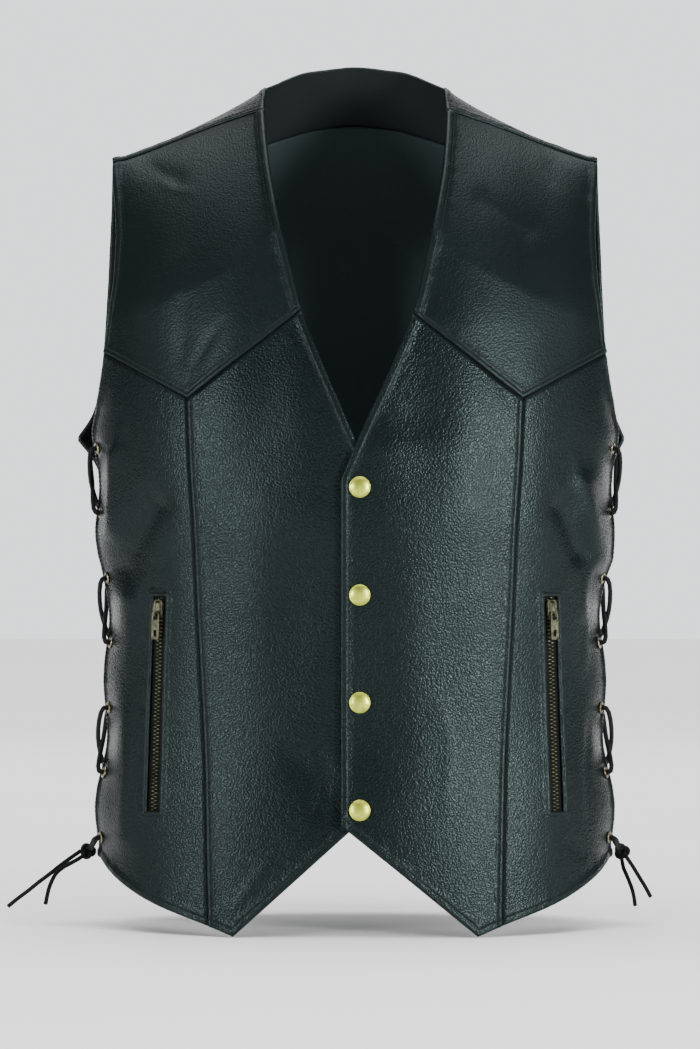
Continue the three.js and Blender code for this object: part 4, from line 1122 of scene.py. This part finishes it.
def finished(nodes, links, given, result, instances, smooth=False):
    """Makes the placed pieces real, and gives them their finish."""
    real = nodes.new("GeometryNodeRealizeInstances")
    links.new(instances, real.inputs["Geometry"])
    shape = real.outputs["Geometry"]
    if smooth:
        rounded = nodes.new("GeometryNodeSetShadeSmooth")
        links.new(shape, rounded.inputs[0])
        shape = rounded.outputs[0]
    dressed = nodes.new("GeometryNodeSetMaterial")
    links.new(shape, dressed.inputs["Geometry"])
    links.new(given.outputs["Finish"], dressed.inputs["Material"])
    links.new(dressed.outputs["Geometry"], result.inputs["Geometry"])


def stitch_tree():
    """Short rounded stitches along the lines of a mesh."""
    sizes = [("Pitch", "Float"), ("Length", "Float"), ("Thread", "Float"), ("Finish", "Material")]
    tree, nodes, links, given, result = new_tree("stitch_rows", sizes)
    bead = nodes.new("GeometryNodeMeshUVSphere")
    bead.inputs["Segments"].default_value = 6
    bead.inputs["Rings"].default_value = 4
    bead.inputs["Radius"].default_value = 0.5
    shape = nodes.new("ShaderNodeCombineXYZ")
    links.new(given.outputs["Length"], shape.inputs["X"])
    links.new(given.outputs["Thread"], shape.inputs["Y"])
    links.new(given.outputs["Thread"], shape.inputs["Z"])
    tangent = nodes.new("GeometryNodeInputTangent").outputs["Tangent"]
    points = spaced_points(nodes, links, given)
    placed = placed_pieces(nodes, links, points, bead.outputs["Mesh"], "X", tangent)
    links.new(shape.outputs["Vector"], placed.inputs["Scale"])
    finished(nodes, links, given, result, placed.outputs["Instances"], smooth=True)
    return tree


def grown(name, source, tree, **values):
    """Runs a node tree over an object, and keeps its result as one plain mesh."""
    modifier = source.modifiers.new(tree.name, "NODES")
    modifier.node_group = tree
    sockets = {item.name: item.identifier for item in tree.interface.items_tree if item.in_out == "INPUT"}
    for label, value in values.items():
        modifier[sockets[label.replace("_", " ").title()]] = value
    evaluated = source.evaluated_get(bpy.context.evaluated_depsgraph_get())
    mesh = bpy.data.meshes.new_from_object(evaluated)
    mesh.name = name
    piece = bpy.data.objects.new(name, mesh)
    bpy.context.scene.collection.objects.link(piece)
    source.modifiers.remove(modifier)
    bpy.data.objects.remove(source)
    return piece


def path_object(name, paths, attributes):
    """Lines through points in millimetres, or lone points, with vectors kept at each of them."""
    points = np.vstack([path for path, *_ in paths]) * MM
    steps, start = [], 0
    for path, *_ in paths:
        steps += [(start + i, start + i + 1) for i in range(len(path) - 1)]
        start += len(path)
    mesh = bpy.data.meshes.new(name)
    mesh.from_pydata(points.tolist(), steps, [])
    for k, attribute_name in enumerate(attributes):
        attribute = mesh.attributes.new(attribute_name, "FLOAT_VECTOR", "POINT")
        vectors = np.vstack([row[k + 1] for row in paths]).astype(np.float32)
        attribute.data.foreach_set("vector", vectors.ravel())
    piece = bpy.data.objects.new(name, mesh)
    bpy.context.scene.collection.objects.link(piece)
    return piece


stitch_source = path_object("stitch_source", stitch_paths, ["facing"])
stitching = grown("stitching", stitch_source, stitch_tree(), pitch=0.0032, length=0.0027, thread=0.0008,
                  finish=thread_material())
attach(stitching, "vest")


# The two zips.
# A black woven tape lies behind each opening, with a closed row of small antiqued brass teeth
# down its middle, where two rows of teeth interlock.
def tape_material():
    """Tightly woven black tape, ribbed across."""
    material, nodes, links, shader = new_material("zip_tape")
    place = nodes.new("ShaderNodeTexCoord")
    weave = nodes.new("ShaderNodeTexWave")
    weave.bands_direction = "Z"
    weave.inputs["Scale"].default_value = 420
    weave.inputs["Distortion"].default_value = 1.5
    links.new(place.outputs["Object"], weave.inputs["Vector"])
    dark, light = (0.0006, 0.0009, 0.0009), (0.003, 0.0042, 0.0042)
    links.new(blend_colours(nodes, links, weave.outputs["Fac"], dark, light), shader.inputs["Base Color"])
    raise_surface(nodes, links, shader, weave.outputs["Fac"], 0.5, 0.0002)
    shader.inputs["Roughness"].default_value = 0.8
    shader.inputs["Specular IOR Level"].default_value = 0.15
    return material


def metal_material(name, dark, light, roughness):
    """Plated metal, tarnished in patches."""
    material, nodes, links, shader = new_material(name)
    tarnish = object_noise(nodes, links, 260, 6, 0.65)
    spread = nodes.new("ShaderNodeMapRange")
    spread.inputs["From Min"].default_value = 0.35
    spread.inputs["From Max"].default_value = 0.65
    links.new(tarnish.outputs["Fac"], spread.inputs["Value"])
    links.new(blend_colours(nodes, links, spread.outputs["Result"], dark, light), shader.inputs["Base Color"])
    links.new(math_node(nodes, links, "MULTIPLY_ADD", spread.outputs["Result"], -0.15, roughness + 0.1),
              shader.inputs["Roughness"])
    raise_surface(nodes, links, shader, tarnish.outputs["Fac"], 0.15, 0.0001)
    shader.inputs["Metallic"].default_value = 1
    return material


def tooth_tree():
    """Teeth set along a line, each moved by a share of its width to the other side from the last."""
    sizes = [("Pitch", "Float"), ("Offset", "Float"), ("Size", "Vector"), ("Finish", "Material")]
    tree, nodes, links, given, result = new_tree("zip_teeth", sizes)
    block = nodes.new("GeometryNodeMeshUVSphere")
    block.inputs["Segments"].default_value = 8
    block.inputs["Rings"].default_value = 4
    block.inputs["Radius"].default_value = 0.5
    tangent = nodes.new("GeometryNodeInputTangent").outputs["Tangent"]
    points = spaced_points(nodes, links, given)
    placed = placed_pieces(nodes, links, points, block.outputs["Mesh"], "Y", tangent)
    links.new(given.outputs["Size"], placed.inputs["Scale"])
    index = nodes.new("GeometryNodeInputIndex")
    parity = math_node(nodes, links, "MODULO", index.outputs["Index"], 2)
    swing = math_node(nodes, links, "MULTIPLY_ADD", parity, 2, -1)
    aside = nodes.new("ShaderNodeCombineXYZ")
    links.new(math_node(nodes, links, "MULTIPLY", swing, given.outputs["Offset"]), aside.inputs["X"])
    moved = nodes.new("GeometryNodeTranslateInstances")
    links.new(placed.outputs["Instances"], moved.inputs["Instances"])
    links.new(aside.outputs["Vector"], moved.inputs["Translation"])
    finished(nodes, links, given, result, moved.outputs["Instances"])
    return tree


ZIP_DEPTH = LEATHER + 0.8
zip_cloth = tape_material()
tooth_metal = metal_material("tooth_brass", (0.04, 0.042, 0.02), (0.20, 0.205, 0.115), 0.4)
teeth_along = tooth_tree()
for side in SIDES:
    tape_z = np.linspace(ZIP_TOP + 8, ZIP_BOTTOM - 8, 90)
    tape_x = np.array([-12, -9, -6, -3.4, -2.6, -1, 1, 2.6, 3.4, 6, 9, 12.0])
    z_grid, x_grid = np.meshgrid(tape_z, tape_x, indexing="ij")
    angles = zip_place(z_grid, x_grid)
    normals = body_normal("front", side, angles, z_grid)
    cord_rise = 0.35 * np.exp(-((np.abs(x_grid) - 3) ** 2))
    points = body_point("front", side, angles, z_grid, False) + normals * (cord_rise - ZIP_DEPTH)[..., None]
    distances = edge_distances(points)
    tape, _ = leather_shell(f"zip_tape_{side}_cloth", points, normals, distances, PLAIN_EDGES, thickness=0.9)
    tape.data.polygons.foreach_set("material_index", [0] * len(tape.data.polygons))
    tape.data.materials.append(zip_cloth)
    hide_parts(f"zip_tape_{side}")
    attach(tape, "vest")
    line_z = np.linspace(ZIP_TOP - 1.2, ZIP_BOTTOM + 1.2, 60)
    line_angles = zip_place(line_z, 0)
    ups = body_normal("front", side, line_angles, line_z)
    line = body_point("front", side, line_angles, line_z, False) + ups * (0.75 - ZIP_DEPTH)
    source = path_object("tooth_source", [(line, ups)], ["facing"])
    teeth = grown(f"zip_teeth_{side}", source, teeth_along, pitch=0.0014, offset=0.42,
                  size=(0.0034, 0.0012, 0.0017), finish=tooth_metal)
    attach(teeth, "vest")


# The zip sliders and their pull tabs.
# Cast and plated in antique nickel. A slider rides on the teeth at the top of its pocket, and its
# flat tab, with a hole near the lower end, hangs from the bridge over it and swings.
SLIDER_LOW, SLIDER_HIGH = -1.1, 1.1
BRIDGE_CLEAR, BRIDGE_THICK = 3.2, 1.2
TAB_MIDDLE = -12.7


def zip_frame(side):
    """The slider's place: its own X across, Y up along the zip and Z outwards."""
    z = ZIP_TOP - 9.0
    point = body_point("front", side, zip_place(z, 0), z, False)
    normal = body_normal("front", side, zip_place(z, 0), z)
    step = 0.02 * (ZIP_TOP - ZIP_BOTTOM)
    up = body_point("front", side, zip_place(z + step, 0), z + step, False)
    up = up - body_point("front", side, zip_place(z - step, 0), z - step, False)
    across = unit(np.cross(up, normal))
    rise = unit(np.cross(normal, across))
    return point, across, rise, normal


def rounded_outline(width, length, radius, steps=6):
    """The corners of a rectangle with round corners, about its middle."""
    x, y = width / 2 - radius, length / 2 - radius
    corners = [(x, y, 0), (-x, y, 90), (-x, -y, 180), (x, -y, 270)]
    return [
        (cx + radius * math.cos(math.radians(start + 90 * k / steps)),
         cy + radius * math.sin(math.radians(start + 90 * k / steps)))
        for cx, cy, start in corners for k in range(steps + 1)
    ]


def cut_plate(outlines, low, high, bevel, frame_axes, stand=False):
    """Points and faces of a flat plate with holes and rounded edges, put in its place."""
    curve = bpy.data.curves.new("plate", "CURVE")
    curve.dimensions = "2D"
    curve.fill_mode = "BOTH"
    curve.extrude = (high - low) / 2 - bevel
    curve.bevel_depth = bevel
    curve.bevel_resolution = 2
    curve.offset = -bevel
    for outline in outlines:
        spline = curve.splines.new("POLY")
        spline.points.add(len(outline) - 1)
        spline.points.foreach_set("co", [value for x, y in outline for value in (x, y, 0, 1)])
        spline.use_cyclic_u = True
    holder = bpy.data.objects.new("plate", curve)
    bpy.context.scene.collection.objects.link(holder)
    mesh = bpy.data.meshes.new_from_object(holder.evaluated_get(bpy.context.evaluated_depsgraph_get()))
    bpy.data.objects.remove(holder)
    local = np.array([v.co for v in mesh.vertices]) + [0, 0, (low + high) / 2]
    if stand:
        local = local[:, [2, 0, 1]]
    faces = [tuple(polygon.vertices) for polygon in mesh.polygons]
    bpy.data.meshes.remove(mesh)
    point, across, rise, normal = frame_axes
    return point + local @ np.array([across, rise, normal]), faces


def joined(parts):
    """The points and faces of several parts as one."""
    points, faces, start = [], [], 0
    for part_points, part_faces in parts:
        points.append(part_points)
        faces += [tuple(v + start for v in face) for face in part_faces]
        start += len(part_points)
    return np.vstack(points), faces


nickel = metal_material("antique_nickel", (0.030, 0.030, 0.020), (0.15, 0.155, 0.10), 0.34)
for side in SIDES:
    axes = zip_frame(side)
    inside = SLIDER_HIGH + BRIDGE_CLEAR
    base = rounded_outline(9, 13, 2.5)
    waist = [(x * (1 - 0.16 * ease(1.5, -5.5, y)), y) for x, y in base]
    bridge = [
        (-5.9, 0.6), (-4.1, 0.6), (-4.1, inside), (4.1, inside), (4.1, 0.6), (5.9, 0.6), (5.9, inside + 0.3),
        (4.9, inside + BRIDGE_THICK), (-4.9, inside + BRIDGE_THICK), (-5.9, inside + 0.3),
    ]
    parts = joined([
        cut_plate([waist], SLIDER_LOW, -0.35, 0.25, axes),
        cut_plate([[(x * 0.8, y * 0.9) for x, y in waist]], -0.5, 0.3, 0.1, axes),
        cut_plate([waist], 0.25, SLIDER_HIGH, 0.3, axes),
        cut_plate([bridge], -0.9, 0.9, 0.25, axes, stand=True),
    ])
    slider = mesh_object(f"zip_slider_{side}_cast", *parts)
    slider.data.materials.append(nickel)
    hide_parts(f"zip_slider_{side}")
    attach(slider, "vest")
    pivot_z = SLIDER_HIGH + BRIDGE_CLEAR / 2
    tab = [(x, y + TAB_MIDDLE) for x, y in rounded_outline(7, 21, 1.6)]
    window = [(x, y + TAB_MIDDLE + 6.85) for x, y in rounded_outline(4.2, 4.5, 0.7, 3)]
    hole = [(x, y + TAB_MIDDLE - 5.6) for x, y in rounded_outline(3, 5, 1.2, 4)]
    plate = cut_plate([tab, window, hole], pivot_z - 0.6, pivot_z + 0.6, 0.25, axes)
    raised = cut_plate([[(x, y + TAB_MIDDLE + 1.6) for x, y in rounded_outline(4.4, 4, 0.8, 3)]],
                       pivot_z - 0.75, pivot_z + 0.8, 0.2, axes)
    pull = mesh_object(f"zip_pull_{side}_tab", *joined([plate, raised]))
    pull.data.materials.append(nickel)
    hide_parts(f"zip_pull_{side}")
    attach(pull, f"pull_{side}")


# The eyelets.
# Twenty-eight two-part rings of antiqued brass, seven down each laced edge. The barrel goes
# through the leather and is rolled over behind it.
def lathe_points(profile, sides):
    """A ring turned about +Z from radius and height rows that close on themselves."""
    turn = 2 * np.pi * np.arange(sides) / sides
    points = [(r * math.cos(t), r * math.sin(t), h) for t in turn for r, h in profile]
    count = len(profile)
    faces = [
        (i * count + k, ((i + 1) % sides) * count + k,
         ((i + 1) % sides) * count + (k + 1) % count, i * count + (k + 1) % count)
        for i in range(sides) for k in range(count)
    ]
    return points, faces


def set_tree():
    """One ready-made piece set at each point, turned to face outwards."""
    tree, nodes, links, given, result = new_tree("set_pieces", [("Piece", "Object"), ("Finish", "Material")])
    info = nodes.new("GeometryNodeObjectInfo")
    links.new(given.outputs["Piece"], info.inputs["Object"])
    placed = placed_pieces(nodes, links, given.outputs["Geometry"], info.outputs["Geometry"], "Y",
                           kept_vector(nodes, "rise"))
    finished(nodes, links, given, result, placed.outputs["Instances"])
    return tree


def set_rows(centres, facing):
    """One row for each place: its middle, the way it faces, and which way is up on it."""
    across = unit(np.cross([0.0, 0.0, 1.0], facing))
    return [(centre[None], normal[None], np.cross(normal, sideways)[None])
            for centre, normal, sideways in zip(centres, facing, across)]


set_pieces = set_tree()
EYELET_PROFILE = [
    (2.5, -2.4), (2.95, -2.4), (2.95, 0.5), (4.35, 0.5), (4.6, 0.62), (4.58, 0.85), (4.2, 1.2),
    (3.6, 1.45), (3.0, 1.48), (2.62, 1.3), (2.5, 0.9),
]
blank = mesh_object("eyelet_blank", *lathe_points(EYELET_PROFILE, 28))
brass = metal_material("eyelet_brass", (0.07, 0.06, 0.032), (0.34, 0.31, 0.19), 0.32)
rows, eyelet_nodes = [], []
for side in SIDES:
    for face in ("front", "back"):
        rows += set_rows(*eyelet_places(face, side))
        eyelet_nodes += [f"eyelet_{side}_{face}_{i}" for i in range(1, 8)]
eyelets = grown("eyelet_rings", path_object("eyelet_source", rows, ["facing", "rise"]), set_pieces,
                piece=blank, finish=brass)
bpy.data.objects.remove(blank)
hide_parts(*eyelet_nodes)
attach(eyelets, "vest")


# The press snaps.
# Four domed caps of pale brass down the left front, each with a rolled rim. The halves that they
# press into sit on the right front, under the overlap.
CAP_PROFILE = [
    (0.01, 0.5), (7.4, 0.5), (7.9, 0.7), (8.0, 1.1), (7.85, 1.55), (7.45, 1.8), (7.1, 1.72), (6.95, 1.6),
    (6.6, 1.85), (5.6, 2.3), (4.2, 2.7), (2.8, 2.93), (1.4, 3.06), (0.5, 3.1), (0.01, 3.1),
]
blank = mesh_object("cap_blank", *lathe_points(CAP_PROFILE, 40))
cap_brass = metal_material("cap_brass", (0.33, 0.37, 0.04), (0.56, 0.62, 0.10), 0.38)
CAP_X, CAP_FIRST, CAP_PITCH = 3.4, -286.4, 79.7
cap_z = CAP_FIRST - CAP_PITCH * np.arange(4)
cap_angle = angle_at(CAP_X, cap_z)
centres = body_point("front", "left", cap_angle, cap_z, False)
rows = set_rows(centres, body_normal("front", "left", cap_angle, cap_z))
caps = grown("snap_caps", path_object("cap_source", rows, ["facing", "rise"]), set_pieces,
             piece=blank, finish=cap_brass)
bpy.data.objects.remove(blank)
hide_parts(*[f"snap_cap_{i}" for i in range(1, 5)])
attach(caps, "vest")
for i in range(1, 5):
    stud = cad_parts[f"snap_stud_{i}"]
    stud.data.materials.clear()
    stud.data.materials.append(cap_brass)


# The laces and their knots.
# One cord a side is threaded up through its fourteen eyelets and down again, so that it crosses
# itself in every gap. Both ends are drawn together in a small round knot below the hem.
STAND, OVER_RIM, UNDER_END, HANG, BULGE, DIP, PART = 4.4, 1.7, -2.7, -5.2, 3, -1, 2.1
KNOT_X, KNOT_Y, KNOT_Z = 205, 2, -565
KNOT_RADIUS, KNOT_TUBE = 3.3, 1.7


def lace_route(side):
    """The lace's way through the eyelets: in at one edge, and out at the other."""
    places = {face: eyelet_places(face, side) for face in ("front", "back")}
    stops = [("back" if i % 2 else "front", 6 - i) for i in range(7)]
    stops += [("front" if i % 2 else "back", i) for i in range(7)]

    def spot(face, index, height):
        """A place on an eyelet's axis, at a height over the leather."""
        centres, facing = places[face]
        return centres[index] + facing[index] * height

    route = []
    for i, (face, index) in enumerate(stops):
        goes_in = i % 2 == 0
        heights = [STAND, OVER_RIM, UNDER_END, HANG]
        heights = heights if goes_in else heights[::-1]
        route += [spot(face, index, height) for height in heights]
        if i + 1 < len(stops):
            next_face, next_index = stops[i + 1]
            middle = (spot(face, index, heights[-1]) + spot(next_face, next_index, heights[-1])) / 2
            over = 0 if index == next_index else PART * (1 if i < 7 else -1)
            middle[0] += SIDES[side] * ((DIP if goes_in else BULGE) + over)
            route.append(middle)
    knot = np.array([SIDES[side] * KNOT_X, KNOT_Y, KNOT_Z])
    reach = 3.35
    start = knot + [-2 * SIDES[side], -reach, 2]
    end = knot + [-2 * SIDES[side], reach, 2]
    return [start, *route, end]


def knot_line():
    """A cord's way round a small tight knot, about its middle."""
    turn = np.linspace(0, 4 * np.pi, 110, endpoint=False)
    ring = KNOT_RADIUS * (2 + np.cos(1.5 * turn)) / 2
    return np.stack([ring * np.cos(turn), -KNOT_RADIUS * np.sin(1.5 * turn) / 2, ring * np.sin(turn)], axis=1)


for side in SIDES:
    lace = braided_tube(f"lace_{side}_cord", smooth_route(lace_route(side), 4), LACE_RADIUS + 0.2)
    lace.data.materials.append(lace_cord)
    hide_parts(f"lace_{side}")
    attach(lace, "vest")
    tied = knot_line() + [SIDES[side] * KNOT_X, KNOT_Y, KNOT_Z]
    knot = braided_tube(f"knot_{side}_cord", tied, KNOT_TUBE, closed=True)
    knot.data.materials.append(lace_cord)
    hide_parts(f"knot_{side}")
    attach(knot, "vest")


# The studio.
# A plain pale floor under an even, very soft overhead light, and tall soft lights on both sides
# of the camera and behind the vest, in a pale room.
def floor_material():
    """A dull, nearly white floor."""
    material, nodes, links, shader = new_material("pale_floor")
    mottle = object_noise(nodes, links, 3)
    colour = blend_colours(nodes, links, mottle.outputs["Fac"], (0.80, 0.80, 0.80), (0.84, 0.84, 0.84))
    links.new(colour, shader.inputs["Base Color"])
    shader.inputs["Roughness"].default_value = 0.9
    shader.inputs["Specular IOR Level"].default_value = 0
    return material


UNDER_HEM = 0.6
floor_z = cad_low.z / MM - UNDER_HEM
FLOOR_HALF = 9000
floor_points = [(FLOOR_HALF * x, FLOOR_HALF * y, floor_z) for x, y in ((-1, -1), (1, -1), (1, 1), (-1, 1))]
floor = mesh_object("pale_floor", floor_points, [(0, 1, 2, 3)])
floor.data.materials.append(floor_material())


def soft_light(name, place, aim, width, height, power):
    """A soft light in metres and watts, turned towards a point."""
    light = bpy.data.lights.new(name, "AREA")
    light.shape = "RECTANGLE"
    light.size, light.size_y = width, height
    light.energy = power
    lamp = bpy.data.objects.new(name, light)
    away = np.array(place, float) - np.array(aim, float)
    away = away / np.linalg.norm(away)
    lamp.location = place
    lamp.rotation_euler = (math.acos(away[2]), 0, math.atan2(away[0], -away[1]))
    bpy.context.scene.collection.objects.link(lamp)


CENTRE = (0, 0, -0.3)
soft_light("left_softbox", (-2.08, -2.22, -0.3), CENTRE, 0.4, 1.6, 94)
soft_light("right_softbox", (2.06, -2.24, -0.3), CENTRE, 0.4, 1.6, 172)
soft_light("left_side", (-2.9, -0.7, -0.1), CENTRE, 0.8, 1.8, 7)
soft_light("right_side", (2.9, -0.7, -0.1), CENTRE, 0.8, 1.8, 12)
soft_light("left_back", (-1.7, 2.7, 0.1), CENTRE, 0.7, 1.6, 10)
soft_light("right_back", (1.7, 2.7, 0.1), CENTRE, 0.7, 1.6, 10)
soft_light("high_back", (0, 2.6, 1.5), CENTRE, 2.4, 1.2, 16)
overhead = bpy.data.lights.new("overhead", "SUN")
overhead.energy = 5.2
overhead.angle = math.radians(70)
bpy.context.scene.collection.objects.link(bpy.data.objects.new("overhead", overhead))
room = bpy.data.worlds.new("room")
room.use_nodes = True
nodes, links = room.node_tree.nodes, room.node_tree.links
background = nodes["Background"]
background.inputs["Color"].default_value = (0.95, 0.97, 1, 1)
seen = nodes.new("ShaderNodeLightPath").outputs["Is Camera Ray"]
links.new(math_node(nodes, links, "MULTIPLY_ADD", seen, 1.6, 0.12), background.inputs["Strength"])
bpy.context.scene.world = room
